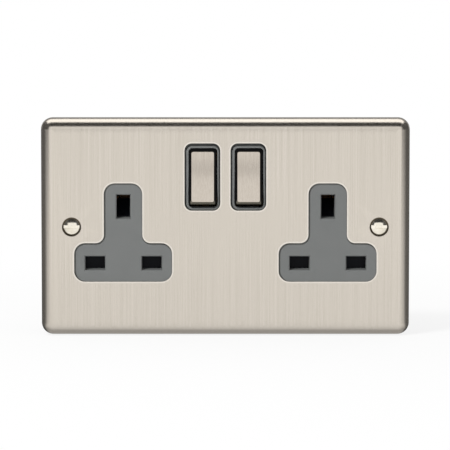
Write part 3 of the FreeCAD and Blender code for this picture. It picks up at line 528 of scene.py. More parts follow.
def newTree(name, inputs):
    tree = bpy.data.node_groups.new(name, "GeometryNodeTree")
    labels = {"Geometry": "Geometry"} | inputs
    for label, kind in labels.items():
        tree.interface.new_socket(label, in_out="INPUT", socket_type=f"NodeSocket{kind}")
    tree.interface.new_socket("Geometry", in_out="OUTPUT", socket_type="NodeSocketGeometry")
    book = NodeBook(tree)
    return book, dict(zip(labels, book.add("NodeGroupInput", None, None, list(labels))))


def closeTree(book, geometry, finish):
    solid = book.add("GeometryNodeRealizeInstances", None, {"Geometry": geometry})
    painted = book.add("GeometryNodeSetMaterial", None, {"Geometry": solid, "Material": finish})
    book.add("NodeGroupOutput", None, {"Geometry": painted})
    return book.tree


def grow(piece, tree, values):
    # Runs a tree on a piece and keeps what it makes as a plain mesh
    modifier = piece.modifiers.new("build", "NODES")
    modifier.node_group = tree
    for item in tree.interface.items_tree:
        if item.in_out == "INPUT" and item.name in values:
            modifier[item.identifier] = values[item.name]
    return settled(piece)


def barePiece(name):
    return newObject(name, bpy.data.meshes.new(name))


def makeCoilTree():
    # A round wire wound about Z from z = 0
    sizes = {label: "Float" for label in ("Radius", "Wire", "Turns", "Height")}
    book, wires = newTree("coil", sizes | {"Steps": "Int", "Sides": "Int", "Finish": "Material"})
    path = book.add("GeometryNodeCurveSpiral", None, {
        "Resolution": wires["Steps"], "Rotations": wires["Turns"], "Start Radius": wires["Radius"],
        "End Radius": wires["Radius"], "Height": wires["Height"],
    })
    section = book.add("GeometryNodeCurvePrimitiveCircle", None, {
        "Resolution": wires["Sides"], "Radius": wires["Wire"] * 0.5,
    })
    sockets = {"Curve": path, "Profile Curve": section, "Fill Caps": True}
    tube = book.add("GeometryNodeCurveToMesh", None, sockets)
    return closeTree(book, tube, wires["Finish"])


def makeScatterTree():
    # Copies of a piece on a grid in the XZ plane, each with a turn of its own about Y
    kinds = {
        "Width": "Float", "Height": "Float", "Columns": "Int", "Rows": "Int", "Middle": "Vector",
        "Twist": "Float", "Seed": "Int", "Finish": "Material",
    }
    book, wires = newTree("scatter", kinds)
    grid = book.add("GeometryNodeMeshGrid", None, {
        "Size X": wires["Width"], "Size Y": wires["Height"],
        "Vertices X": wires["Columns"], "Vertices Y": wires["Rows"],
    })
    stood = book.add("GeometryNodeTransform", None, {
        "Geometry": grid, "Translation": wires["Middle"], "Rotation": (math.pi / 2, 0, 0),
    })
    limits = {2: 0.0, 3: wires["Twist"], "Seed": wires["Seed"]}  # least and greatest
    turn = book.add("FunctionNodeRandomValue", {"data_type": "FLOAT"}, limits, 1)
    lean = book.add("ShaderNodeCombineXYZ", None, {"Y": turn})
    copies = book.add("GeometryNodeInstanceOnPoints", None, {
        "Points": stood, "Instance": wires["Geometry"], "Rotation": lean,
    })
    return closeTree(book, copies, wires["Finish"])


coilTree = makeCoilTree()
scatterTree = makeScatterTree()


def mergedCopy(node):
    # A node's loose triangles as one mesh of whole faces
    bm = bmesh.new()
    bm.from_mesh(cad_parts[node].data)
    bmesh.ops.remove_doubles(bm, verts=bm.verts, dist=tiny)
    bmesh.ops.dissolve_limit(bm, angle_limit=math.radians(flatAngle), verts=bm.verts, edges=bm.edges)
    return bm


def softened(node, name, material, look):
    # A copy of a node with its sharp edges rounded off
    piece = meshObject(mergedCopy(node), name, material, scale=1.0)
    addBevel(piece, look["edge"], look["segments"])
    addWeighting(piece)
    return settled(piece)


def isSharp(edge):
    return len(edge.link_faces) == 2 and edge.calc_face_angle(math.pi) >= math.radians(ridgeAngle)


def softenedByEdge(node, name, material, look, widthOf, adjust=None):
    # As softened, with the width for each edge from widthOf; adjust may change the copy first
    bm = mergedCopy(node)
    weight = bm.edges.layers.float.new("bevel_weight_edge")
    for edge in bm.edges:
        edge[weight] = widthOf(edge) / look["widest"]
    if adjust:
        adjust(bm)
    piece = meshObject(bm, name, material, scale=1.0)
    addBevel(piece, look["widest"], look["segments"]).limit_method = "WEIGHT"
    addWeighting(piece)
    return settled(piece)


def standFor(piece, body, slotName, *nodes):
    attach(piece, body)
    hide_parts(*nodes)
    return piece


# Steel plate

plate = {
    "halfWidth": plateHigh.x - 0.15,
    "halfHeight": plateHigh.z,
    "roll": 4.7,
    "rollSteps": 20,
    "lip": 0.18,  # rounding along the cut edges
    "lipTurns": (0, 30, 60, 90),
    "highlightReach": 0.1,  # painted highlight beyond the rounding, and the width over which it fades
    "highlightFade": 0.5,
    "crownTilt": 4.5,  # degrees that the face has turned where the roll starts
    "crownWidth": 1.6,
    "crownSteps": 5,
    "crownCorner": 0.05,
    "fixingX": middleMm("fixing_screw_right").x,
    "sinkRadius": 3.72,
    "holeRadius": 2.1,
    # the countersink, front to back: reach beyond a radius, depth behind a level
    "sinkRim": [(0.35, 0.0), (0.08, 0.04), (-0.1, 0.16)],
    "sinkThroat": [(0.1, -0.1), (0.0, 0.1)],
    "sinkFoot": 0.5,
    "sinkSkirt": [(0.41, 0.12), (0.41, 0.0)],
}
socketFace = {
    "pitch": 80.2, "top": 17.05, "height": 38.55, "baseWidth": 38.3, "baseHeight": 15.05,
    "stemWidth": 14.95, "corner": 4.2, "innerCorner": 3.3,
}
bezel = {"pitch": 18.0, "height": 19.6, "width": 13.8, "length": 26.2, "corner": 2.75}


def faceCorners(centre, grow):
    look = socketFace
    halfStem, halfBase = look["stemWidth"] / 2 + grow, look["baseWidth"] / 2 + grow
    top, bottom = look["top"] + grow, look["top"] - look["height"] - grow
    shoulder = look["top"] - look["height"] + look["baseHeight"] + grow
    outer, inner = look["corner"] + grow, look["innerCorner"] - grow
    right = [
        (halfBase, bottom, outer), (halfBase, shoulder, outer),
        (halfStem, shoulder, inner), (halfStem, top, outer),
    ]
    left = [(-across, up, radius) for across, up, radius in reversed(right)]
    return [(across + centre, up, radius) for across, up, radius in right + left]


def bezelCorners(centre, grow):
    half, tall = bezel["width"] / 2 + grow, bezel["length"] / 2 + grow
    return boxCorners(centre, bezel["height"], half, tall, bezel["corner"] + grow)


def plateLoop(reach, corner):
    # The plate's outline at a distance from the axis of its rolled edge
    half, tall = plate["halfWidth"] - plate["roll"] + reach, plate["halfHeight"] - plate["roll"] + reach
    return roundedLoop(boxCorners(0, 0, half, tall, corner), plate["rollSteps"])


def rolledRings(bm, radius):
    # One skin of the rolled edge, from the wall to the flat face, with a slight crown before it
    crown = math.radians(plate["crownTilt"])
    span = plate["crownWidth"] + plate["roll"] * math.sin(crown)
    rise = span * math.tan(crown) / 2
    axis = plateFace + plate["roll"] + rise - plate["roll"] * (1 - math.cos(crown))
    rings = [addRing(bm, plateLoop(radius, radius), 0)]
    for step in range(plate["rollSteps"] + 1):
        tilt = crown + (math.pi / 2 - crown) * (1 - step / plate["rollSteps"])
        reach = radius * math.sin(tilt)
        rings.append(addRing(bm, plateLoop(reach, reach), axis - radius * math.cos(tilt)))
    for step in range(1, plate["crownSteps"] + 1):
        left = 1 - step / plate["crownSteps"]
        reach = radius * math.sin(crown) - span * (1 - left)
        depth = plateFace + plate["roll"] - radius + rise * left ** 2
        rings.append(addRing(bm, plateLoop(reach, max(reach, plate["crownCorner"])), depth))
    bridgeAll(bm, rings)
    return rings[0], rings[-1]


def cutOut(bm, corners, centre, worn):
    # A cut-out's wall with a rounded front edge and a painted highlight along it
    lip = plate["lip"]
    bright = lip + plate["highlightReach"]
    rings = [addRing(bm, roundedLoop(corners(centre, bright + plate["highlightFade"])), plateFace)]
    rings.append(addRing(bm, roundedLoop(corners(centre, bright)), plateFace))
    for turn in plate["lipTurns"]:
        tilt = math.radians(turn)
        loop = roundedLoop(corners(centre, lip * (1 - math.sin(tilt))))
        rings.append(addRing(bm, loop, plateFace + lip * (1 - math.cos(tilt))))
    # the rounding and a little beyond get the painted highlight
    for vertex in sum(rings[1:], []):
        vertex[worn] = 1.0
    rings.append(addRing(bm, roundedLoop(corners(centre, 0)), plateBack))
    bridgeAll(bm, rings)
    return rings[0], rings[-1]


def countersink(bm, centre, sunk):
    sink, hole = plate["sinkRadius"], plate["holeRadius"]
    throat = plateFace + sink - hole
    end = throat + plateGauge
    profile = [(sink + out, plateFace + behind) for out, behind in plate["sinkRim"]]
    profile += [(hole + out, throat + behind) for out, behind in plate["sinkThroat"]]
    profile += [(hole, end), (hole + plate["sinkFoot"], end)]
    profile += [(sink + out, plateBack + behind) for out, behind in plate["sinkSkirt"]]
    rings = [addRing(bm, roundLoop(centre, 0, radius), depth) for radius, depth in profile]
    for vertex in sum(rings[2:6], []):  # the cone and the hole: painted shade and more roughness
        vertex[sunk] = 1.0
    bridgeAll(bm, rings)
    return rings[0], rings[-1]


def makePlate():
    bm = bmesh.new()
    # mask for the painted highlight along the cut edges
    worn = bm.verts.layers.float.new("worn")
    # mask for the painted shade in the countersinks
    sunk = bm.verts.layers.float.new("sunk")
    outer = rolledRings(bm, plate["roll"])
    inner = rolledRings(bm, plate["roll"] - plateGauge)
    bridge(bm, outer[0], inner[0])
    holes = [cutOut(bm, faceCorners, side * socketFace["pitch"] / 2, worn) for side in (-1, 1)]
    holes += [cutOut(bm, bezelCorners, side * bezel["pitch"] / 2, worn) for side in (-1, 1)]
    holes += [countersink(bm, side * plate["fixingX"], sunk) for side in (-1, 1)]
    fillBetween(bm, [outer[1]] + [front for front, back in holes])
    fillBetween(bm, [inner[1]] + [back for front, back in holes])
    piece = meshObject(bm, "steelPlate", finishes["plate"])
    addWeighting(piece)
    return settled(piece)


standFor(makePlate(), "root", "plate_steel", "front_plate")
print("plate made")


# Pieces that keep the source's shape, with their edges rounded

softLooks = {
    # finish, material slot, rounding, steps of the rounding
    "housing": ("housing", "housing_plastic", 0.18, 2),
    "plunger": ("rocker", "rocker_plastic", 0.2, 2),
    "shutter": ("shutter", "shutter_plastic", 0.15, 2),
    "arm": ("shadedBronze", "contact_bronze", 0.08, 1),
    "clip": ("shadedBronze", "contact_bronze", 0.06, 1),
    "terminal": ("brassBlock", "terminal_brass", 0.2, 2),
    "bar": ("shadedBrassStrip", "bar_brass", 0.08, 1),
}
softPieces = {
    # node: piece, body, look; {} stands for left and right
    "rear_housing": ("rearHousing", "root", "housing"),
    "rocker_plunger_{}": ("plunger{}", "rocker_{}", "plunger"),
    "shutter_{}": ("shutter{}", "shutter_{}", "shutter"),
    "switch_arm_{}": ("switchArm{}", "switch_arm_{}", "arm"),
    "live_terminal": ("liveTerminal", "root", "terminal"),
    "neutral_terminal": ("neutralTerminal", "root", "terminal"),
    "earth_terminal_{}": ("earthTerminal{}", "root", "terminal"),
    "live_bar": ("liveBar", "root", "bar"),
    "neutral_bar": ("neutralBar", "root", "bar"),
    "earth_bar": ("earthBar", "root", "bar"),
    "live_link_{}": ("liveLink{}", "root", "bar"),
    "plate_earth_strap": ("plateEarthStrap", "root", "bar"),
    "live_clip_{}": ("liveClip{}", "root", "clip"),
    "neutral_clip_{}": ("neutralClip{}", "root", "clip"),
    "earth_clip_{}": ("earthClip{}", "root", "clip"),
}
for node, (name, body, lookName) in softPieces.items():
    finish, slotName, edge, segments = softLooks[lookName]
    for side in ("left", "right") if "{}" in node else ("",):
        look = {"edge": edge, "segments": segments}
        piece = softened(node.format(side), name.format(side.title()), finishes[finish], look)
        standFor(piece, body.format(side), slotName, node.format(side))
print("softened pieces made")


# Front moulding: socket faces, bezels, aperture necks and shutter guides

moulding = {
    "edge": 0.1,
    "faceEdge": 0.14,
    "faceLevel": plateFace + 0.35,
    "segments": 3,
    "sit": Vector((0.19, -0.19)),  # how far the faces sit to the right and down in their cut-outs
    "wideGap": 0.28,  # added to the gap at the left and at the top of each face
    "wideFrom": 0.6,  # lean of a wall from which it takes the whole of that
    "topFrom": 12.5,  # above this height a face is lower than the source's
    "topDrop": 0.35,
    "before": plateBack - 0.1,  # what lies behind this level stays where it is
    "apertureReach": 5.0,
    # middle and half size of each aperture, and how far its right and lower walls move out
    "apertures": [((0, 8.1), (3.0, 4.9)), ((-11.115, -14.13), (4.2, 2.9)), ((11.115, -14.13), (4.2, 2.9))],
    "apertureGrowth": Vector((0.28, -0.5)),
}
ridge = {
    "front": boxMm("front_moulding")[0].y,
    "cut": plateBack - 0.02,  # where the source's bezels are cut off
    "margin": 0.5,  # round each bezel, for the cut
    "between": (6.35, 11.75),  # across and up, beyond the source's well and within its outer wall
    "moat": 1.5,  # depth of the groove round each ridge behind the cut
    "moatReach": 0.12,
    "moatFrom": (5.5, 11.4),
    "outer": {"left": 6.4, "right": 6.74, "top": 12.15, "bottom": 13.0, "corner": 2.45},
    "inner": {"left": 5.27, "right": 5.84, "top": 11.3, "bottom": 11.9, "corner": 1.4},
    # outer wall to inner wall: share of the width, depth behind the front
    "profile": [
        (0.0, 3.2), (0.0, 1.4), (0.08, 1.0), (0.2, 0.6), (0.34, 0.25), (0.46, 0.06), (0.58, 0.0), (0.72, 0.0),
        (0.84, 0.08), (0.94, 0.28), (1.0, 0.72), (1.0, 3.2),
    ],
    "cornerSteps": 8,
}


def apertureShift(place, side):
    # None away from the apertures, otherwise how far a corner near one of them moves
    offset = Vector((place.x - side * socketFace["pitch"] / 2, place.z))
    for middle, half in moulding["apertures"]:
        away = offset - Vector(middle)
        if max(abs(away.x), abs(away.y)) < moulding["apertureReach"]:
            growth = moulding["apertureGrowth"]
            inside = abs(away.x) < half[0] and abs(away.y) < half[1]
            return Vector((growth.x * (away.x > 0), growth.y * (away.y < 0))) * inside
    return None


def settleFaces(bm):
    # Shifts the faces in their cut-outs, with a wider gap at the left and at the top
    bm.normal_update()
    for vertex in bm.verts:
        place = vertex.co / mm
        if place.y > moulding["before"]:
            continue
        shift = apertureShift(place, 1 if place.x > 0 else -1)
        if shift is None:
            left, upper = max(0, -vertex.normal.x), max(0, vertex.normal.z)
            lean = Vector((min(1, left / moulding["wideFrom"]), -min(1, upper / moulding["wideFrom"])))
            drop = Vector((0, moulding["topDrop"] * (place.z > moulding["topFrom"])))
            shift = moulding["sit"] + lean * moulding["wideGap"] - drop
        vertex.co += Vector((shift.x, 0, shift.y)) * mm


def fromBezel(place):
    # Across and up from the middle of the nearer bezel
    side = 1 if place.x > 0 else -1
    return Vector((place.x - side * bezel["pitch"] / 2 * mm, place.z - bezel["height"] * mm)) / mm


def onBezel(vertex):
    offset = fromBezel(vertex.co)
    half, tall = bezel["width"] / 2 + ridge["margin"], bezel["length"] / 2 + ridge["margin"]
    return abs(offset.x) < half and abs(offset.y) < tall


def onOuterWall(vertex):
    offset = fromBezel(vertex.co)
    return abs(offset.x) > ridge["between"][0] or abs(offset.y) > ridge["between"][1]


def trimBezels(bm):
    # Cuts the bezels off and leaves a groove where they stood
    geometry = [item for item in bm.faces if all(onBezel(vertex) for vertex in item.verts)]
    geometry += [item for item in bm.edges if all(onBezel(vertex) for vertex in item.verts)]
    geometry += [vertex for vertex in bm.verts if onBezel(vertex)]
    cut = Vector((0, ridge["cut"], 0)) * mm
    bmesh.ops.bisect_plane(bm, geom=geometry, plane_co=cut, plane_no=(0, 1, 0), clear_inner=True)
    rim = [edge for edge in bm.edges if edge.is_boundary]
    for side in (-1, 1):
        floor = []
        for outer in (True, False):
            starts = [(edge, edge.verts[0]) for edge in rim]
            edges = [edge for edge, start in starts if start.co.x * side > 0 and onOuterWall(start) == outer]
            made = bmesh.ops.extrude_edge_only(bm, edges=edges)["geom"]
            fresh = {item for item in made if isinstance(item, bmesh.types.BMVert)}
            walls = [item for item in made if isinstance(item, bmesh.types.BMEdge)]
            floor += [edge for edge in walls if fresh.issuperset(edge.verts)]
            for vertex in fresh:
                offset = fromBezel(vertex.co)
                across = math.copysign(abs(offset.x) > ridge["moatFrom"][0], offset.x)
                up = math.copysign(abs(offset.y) > ridge["moatFrom"][1], offset.y)
                reach = 0 if outer else ridge["moatReach"]
                vertex.co += Vector((across * reach, ridge["moat"], up * reach)) * mm
        bmesh.ops.triangle_fill(bm, use_beauty=True, use_dissolve=False, edges=floor, normal=(0, 1, 0))
    settleFaces(bm)


def makeRidge(side):
    # A rounded frame between the outer wall and the inner one
    bm = bmesh.new()
    outer, inner = ridge["outer"], ridge["inner"]
    centre, middle = side * bezel["pitch"] / 2, bezel["height"]
    rings = []
    for share, behind in ridge["profile"]:
        reach = {name: outer[name] + (inner[name] - outer[name]) * share for name in outer}
        left, right = centre - reach["left"], centre + reach["right"]
        low, high = middle - reach["bottom"], middle + reach["top"]
        spots = [(across, up, reach["corner"]) for across, up in (
            (left, low), (right, low), (right, high), (left, high),
        )]
        rings.append(addRing(bm, roundedLoop(spots, ridge["cornerSteps"]), ridge["front"] + behind))
    bridgeAll(bm, rings + [rings[0]])
    return meshObject(bm, "ridge", finishes["insert"])


def makeMoulding():
    def widthOf(edge):
        onFace = all(abs(vertex.co.y / mm - moulding["faceLevel"]) < levelReach for vertex in edge.verts)
        return moulding["faceEdge" if onFace else "edge"] if isSharp(edge) else 0

    look = {"widest": moulding["faceEdge"], "segments": moulding["segments"]}
    body = softenedByEdge("front_moulding", "mouldingBody", finishes["insert"], look, widthOf, trimBezels)
    return joinedPiece("frontMoulding", [body, makeRidge(-1), makeRidge(1)], finishes["insert"])


standFor(makeMoulding(), "root", "insert_plastic", "front_moulding")
print("moulding made")


# Rockers with dished steel caps

rocker = {
    "pivotY": -3.5, "pivotZ": 19.6, "tilt": 7.0, "edge": 0.25, "widest": 1.1, "segments": 6,
    "sit": Vector((0.13, 0, 0)),  # how far to the right the rockers sit in their wells
    # edges with the widest rounding: how long they are, and how far from the middle, at least
    "uprightLength": 2.0, "uprightAcross": 5.0, "lowestLength": 8.0, "frontBefore": 2.5, "endBeyond": 8.5,
}
cap = {"edge": 0.3, "segments": 4, "longer": 1.018}


def rockerMatrix(side):
    # From the rocker's own frame, upright with the pivot at zero, to its place at rest
    place = Vector((middleMm(f"rocker_{side}").x, rocker["pivotY"], rocker["pivotZ"])) * mm
    return Matrix.Translation(place) @ Matrix.Rotation(-math.radians(rocker["tilt"]), 4, "X")


def makeRocker(side):
    node = f"rocker_{side}"
    middle = middleMm(node)

    def widthOf(edge):
        # widest for the upright corners, which clear the bezel, and for the lower edge of the front
        first, second = [vertex.co / mm for vertex in edge.verts]
        run, spot = second - first, (first + second) / 2 - middle
        upright = abs(run.y) > rocker["uprightLength"] and abs(run.x) < levelReach
        upright = upright and abs(spot.x) > rocker["uprightAcross"] and abs(spot.z) > rocker["endBeyond"]
        lowest = abs(run.x) > rocker["lowestLength"] and abs(run.z) < levelReach
        lowest = lowest and spot.z < -rocker["endBeyond"] and spot.y < -rocker["frontBefore"]
        return rocker["widest"] if upright or lowest else rocker["edge"] * isSharp(edge)

    piece = softenedByEdge(node, f"rocker{side.title()}", finishes["rocker"], rocker, widthOf)
    return moved(piece, Matrix.Translation(rocker["sit"] * mm))


def makeCap(side):
    # A little longer than the source's cap, at the lower end
    piece = softened(f"rocker_cap_{side}", f"rockerCap{side.title()}", finishes["cap"], cap)
    toPlace = rockerMatrix(side)
    topEnd = Matrix.Translation((0, 0, (boxMm(f"rocker_cap_{side}")[1].z - rocker["pivotZ"]) * mm))
    longer = topEnd @ Matrix.Diagonal((1, 1, cap["longer"], 1)) @ topEnd.inverted()
    return moved(piece, Matrix.Translation(rocker["sit"] * mm) @ toPlace @ longer @ toPlace.inverted())


for side in ("left", "right"):
    standFor(makeRocker(side), f"rocker_{side}", "rocker_plastic", f"rocker_{side}")
    standFor(makeCap(side), f"rocker_{side}", "cap_steel", f"rocker_cap_{side}")
print("rockers made")


# Springs

rockerSpring = {"radius": 1.05, "wire": 0.3, "turns": 5.0, "length": 3.95, "depth": -0.4}
shutterSpring = {"radius": 1.4, "wire": 0.4, "turns": 8.0, "length": 10.55, "foot": -8.0, "keep": 0.374}
springMesh = {"Steps": 22, "Sides": 8}
coilAngle = 60  # edges sharper than this are shaded sharp


def makeCoil(name, look):
    values = springMesh | {
        "Radius": look["radius"] * mm, "Wire": look["wire"] * mm, "Turns": look["turns"],
        "Height": (look["length"] - look["wire"]) * mm, "Finish": finishes["spring"],
    }
    piece = withFaces(grow(barePiece(name), coilTree, values), finishes["spring"], coilAngle)
    return moved(piece, Matrix.Translation((0, 0, look["wire"] / 2 * mm)))


def laidBack(start):
    # Turns a coil's axis from Z to Y and puts its foot at the start
    return Matrix.Translation((0, start * mm, 0)) @ Matrix.Rotation(-math.pi / 2, 4, "X")


def makeRockerSpring(side):
    coil = makeCoil(f"rockerSpring{side.title()}", rockerSpring)
    piece = moved(coil, rockerMatrix(side) @ laidBack(rockerSpring["depth"]))
    standFor(piece, f"rocker_{side}", "spring_steel", f"rocker_spring_{side}")


def makeShutterSpring(side):
    look = shutterSpring
    middle = middleMm(f"shutter_spring_{side}")
    spot = Vector((middle.x, middle.y, look["foot"])) * mm
    piece = moved(makeCoil(f"shutterSpring{side.title()}", look), Matrix.Translation(spot))
    standFor(piece, "root", "spring_steel", f"shutter_spring_{side}")
    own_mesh(piece)


for side in ("left", "right"):
    makeRockerSpring(side)
    makeShutterSpring(side)
print("springs wound")


# Screws and bushes

fixingScrew = {
    "face": -4.43, "headRadius": 3.12, "rim": 0.06, "dome": 0.95, "domeSteps": 7, "domeFlat": 0.06,
    "neckRadius": 1.5, "length": 25.0, "point": (0.6, 0.55), "slotWidth": 1.2, "slotDepth": 1.0, "edge": 0.07,
    "threadStart": -1.85, "threadRadius": 1.75, "threadDepth": 0.2, "threadWire": 0.32, "threadInset": 0.3,
    "threadEnd": 0.15, "pitch": 0.6, "sides": 56,
}
fixingThread = {"Steps": 20, "Sides": 6}
assemblyScrew = {
    "seat": 19.6, "headRadius": 2.4, "headHeight": 1.6, "shankRadius": 1.5, "tip": -3.6, "point": (0.5, 0.4),
    # the head from its underside to its top: distance below the top, inset from the radius
    "rim": (0.1, 0.05), "head": [(0.95, 0.0), (0.55, 0.12), (0.22, 0.45), (0.05, 1.0), (0.0, 1.9)],
    "crossWidth": 0.55, "crossReach": 1.25, "crossDepth": 0.95, "crossStep": 0.01,
    "edge": 0.05, "twist": 6.28, "seed": 4, "sides": 32,
}
terminalScrew = {
    "radius": 1.95, "core": 1.7, "tip": 15.05, "point": (0.3, 0.3), "slotWidth": 0.75, "slotDepth": 0.9,
    "threadStart": 0.5, "threadEnd": 0.8, "threadPitch": 0.5, "flank": 0.2, "crest": 0.1, "end": (0.15, 0.2),
    "spacing": 11.0, "twist": 3.1, "seed": 9, "sides": 32,
}
bush = {"radius": 2.5, "bore": 1.55, "edge": 0.08, "sides": 6}
corners = {"acrossHalf": 54.3, "upper": 27.6, "lower": -26.9}
slotOver = 1.0  # how far a cutter stands over what it cuts
screwEdgeAngle = 40


def makeFixingScrew(side):
    look = fixingScrew
    ball = (look["headRadius"] ** 2 + look["dome"] ** 2) / (2 * look["dome"])
    crown = look["face"] - look["dome"]
    widest = math.asin(look["headRadius"] / ball)
    profile = []
    for step in range(look["domeSteps"]):
        turn = widest * (look["domeFlat"] + (1 - look["domeFlat"]) * step / (look["domeSteps"] - 1))
        profile.append((crown + ball - ball * math.cos(turn), ball * math.sin(turn)))
    neck = look["face"] + look["headRadius"] - look["neckRadius"]
    tip, start = look["face"] + look["length"], look["threadStart"]
    core = look["threadRadius"] - look["threadDepth"]
    profile += [
        (look["face"] + look["rim"], look["headRadius"]),
        (neck, look["neckRadius"]), (start, look["neckRadius"]), (start + look["threadEnd"], core),
        (tip - look["point"][0], core), (tip, core - look["point"][1]),
    ]
    name = f"fixingScrew{side.title()}"
    head = turnedPiece(name, profile, finishes["nickel"], look["sides"])
    half, reach = look["slotWidth"] / 2, look["headRadius"] + slotOver
    cutBy(head, [((-reach, crown - slotOver, -half), (reach, crown + look["slotDepth"], half))])
    addBevel(head, look["edge"], 2, screwEdgeAngle)
    addWeighting(head)
    settled(head)
    turns = (tip - look["point"][0] - look["threadInset"] - start) / look["pitch"]
    thread = grow(barePiece("thread"), coilTree, fixingThread | {
        "Radius": (look["threadRadius"] - look["threadWire"] / 2) * mm, "Wire": look["threadWire"] * mm,
        "Turns": turns, "Height": turns * look["pitch"] * mm, "Finish": finishes["nickel"],
    })
    withFaces(moved(thread, laidBack(start + look["threadInset"])), finishes["nickel"])
    screw = joinedPiece(name, [head, thread], finishes["nickel"])
    moved(screw, Matrix.Translation((middleMm(f"fixing_screw_{side}").x * mm, 0, 0)))
    standFor(screw, "root", "screw_nickel", f"fixing_screw_{side}")


def scattered(master, values):
    material = master.data.materials[0]
    return withFaces(grow(master, scatterTree, values | {"Finish": material}), material)


def cornerGrid(twist, seed):
    return {
        "Width": 2 * corners["acrossHalf"] * mm, "Height": (corners["upper"] - corners["lower"]) * mm,
        "Columns": 2, "Rows": 2, "Middle": (0, 0, (corners["upper"] + corners["lower"]) / 2 * mm),
        "Twist": twist, "Seed": seed,
    }


def makeAssemblyScrews():
    look = assemblyScrew
    tip, seat, shank, edge = look["tip"], look["seat"], look["shankRadius"], look["headRadius"]
    end = seat + look["headHeight"]
    profile = [
        (tip, shank - look["point"][1]), (tip + look["point"][0], shank), (seat, shank),
        (seat, edge - look["rim"][1]), (seat + look["rim"][0], edge),
    ]
    profile += [(end - below, edge - inset) for below, inset in look["head"]]
    master = turnedPiece("assemblyScrews", profile, finishes["zinc"], look["sides"])
    half, reach, top = look["crossWidth"] / 2, look["crossReach"], end + slotOver
    floor = end - look["crossDepth"]
    # one slot is a hair deeper, so that the two cutters share no face
    across = ((-reach, floor, -half), (reach, top, half))
    upright = ((-half, floor - look["crossStep"], -reach), (half, top, reach))
    cutBy(master, [across, upright])
    addBevel(master, look["edge"], 1, screwEdgeAngle)
    piece = scattered(settled(master), cornerGrid(look["twist"], look["seed"]))
    standFor(piece, "root", "screw_zinc", "assembly_screws")


def makeTerminalScrews():
    look = terminalScrew
    core, radius, end = look["core"], look["radius"], boxMm("terminal_screws")[1].y
    profile = [(look["tip"], core - look["point"][1]), (look["tip"] + look["point"][0], core)]
    level = look["tip"] + look["threadStart"]
    while level < end - look["threadEnd"]:
        high, following = level + look["flank"], level + look["threadPitch"]
        profile += [(level, core), (high, radius), (high + look["crest"], radius), (following, core)]
        level = following
    profile += [(end - look["end"][0], core), (end, core - look["end"][1])]
    master = turnedPiece("terminalScrews", profile, finishes["zinc"], look["sides"])
    half, reach = look["slotWidth"] / 2, radius + slotOver
    cutBy(master, [((-reach, end - look["slotDepth"], -half), (reach, end + slotOver, half))])
    piece = scattered(master, {
        "Width": 3 * look["spacing"] * mm, "Height": 0.0, "Columns": 4, "Rows": 1,
        "Middle": (0, 0, middleMm("terminal_screws").z * mm), "Twist": look["twist"], "Seed": look["seed"],
    })
    standFor(piece, "root", "screw_zinc", "terminal_screws")


def makeBushes():
    low, high = boxMm("plate_bushes")
    bm = bmesh.new()
    outline = roundLoop(0, 0, bush["radius"], bush["sides"])
    sides = zip(outline, outline[1:] + outline[:1])
    hexagon = [first.lerp(second, share) for first, second in sides for share in (0, 0.5)]
    bore = roundLoop(0, 0, bush["bore"], 2 * bush["sides"])
    loops = [(bore, low.y), (hexagon, low.y), (hexagon, high.y), (bore, high.y)]
    rings = [addRing(bm, loop, depth) for loop, depth in loops]
    bridgeAll(bm, rings + [rings[0]])
    master = meshObject(bm, "plateBushes", finishes["zinc"])
    addBevel(master, bush["edge"])
    piece = scattered(settled(master), cornerGrid(0.0, 0))
    standFor(piece, "root", "plate_steel", "plate_bushes")


for side in ("left", "right"):
    makeFixingScrew(side)
makeAssemblyScrews()
makeTerminalScrews()
makeBushes()
print("screws and bushes made")


# Studio

studio = {
    "aim": (-0.14, -5.0, 0.75), "distance": 1200.0, "elevation": 5.0,
    "lens": 245.0, "sensor": 36.0, "clipStart": 0.05, "clipEnd": 20.0,
    "fill": 0.62, "keyPower": 16.0, "keySize": 0.4, "keyPlace": (-0.75, -0.85, 1.2),
}
floorLook = {
    "radius": 4000.0, "hub": 0.1, "steps": 64, "drop": 0.2,
    "paper": (0.4, 3.0, 0.5), "dark": (0.86, 0.86, 0.86, 1), "light": (0.9, 0.9, 0.9, 1),
    "shadowFade": (30.0, 350.0), "shadowLeast": 0.8,
    # brightness of the floor in metal, a painted contact shadow: by distance from the plate, over the reach
    # in metres
    "halfWidth": plateHigh.x, "front": -plateBack, "reach": 0.6, "shine": 1.06,
    "contact": [(0.0, 0.4), (0.003, 0.66), (0.01, 0.81), (0.04, 0.87), (0.12, 0.9), (0.5, 0.98), (1.0, 1.0)],
    # and painted shade by turn from the front, over 180 degrees
    "sides": [(0.1, 1.0), (0.24, 0.92), (0.34, 0.68), (0.41, 0.38), (0.48, 0.15), (1.0, 0.13)],
    "sideStart": 4.0,
}
cards = {
    # seen in gloss only: elevation from and to, brightness, distance in metres
    "brow": (31.0, 74.0, 0.04, 1.5),
    "softbox": (76.0, 118.0, 1.55, 1.5),
    "rearWall": (119.0, 182.0, 0.3, 1.5),
    "lensBand": (5.2, 10.0, 0.76, 1.45),
}
cardHalf = 1.4
cardSteps = 12
darkSide = {"plan": [(0.75, -0.95), (1.3, -0.3), (1.3, 1.2)], "heights": (-0.5, 1.6), "shade": 0.1}


def makeCamera():
    camera = newObject("camera", bpy.data.cameras.new("camera"))
    rise = math.radians(studio["elevation"])
    back = Vector((0, -math.cos(rise), math.sin(rise)))
    camera.location = (Vector(studio["aim"]) + back * studio["distance"]) * mm
    camera.rotation_euler = (-back).to_track_quat("-Z", "Y").to_euler()
    camera.data.lens = studio["lens"]
    camera.data.sensor_width = studio["sensor"]
    camera.data.clip_start = studio["clipStart"]
    camera.data.clip_end = studio["clipEnd"]
    bpy.context.scene.camera = camera


def seenDirectly(book):
    # 1 for what the camera sees itself, in metal or through glass
    rays = ["Is Camera Ray", "Is Glossy Ray", "Is Transmission Ray"]
    return book.add("ShaderNodeLightPath", None, None, rays)


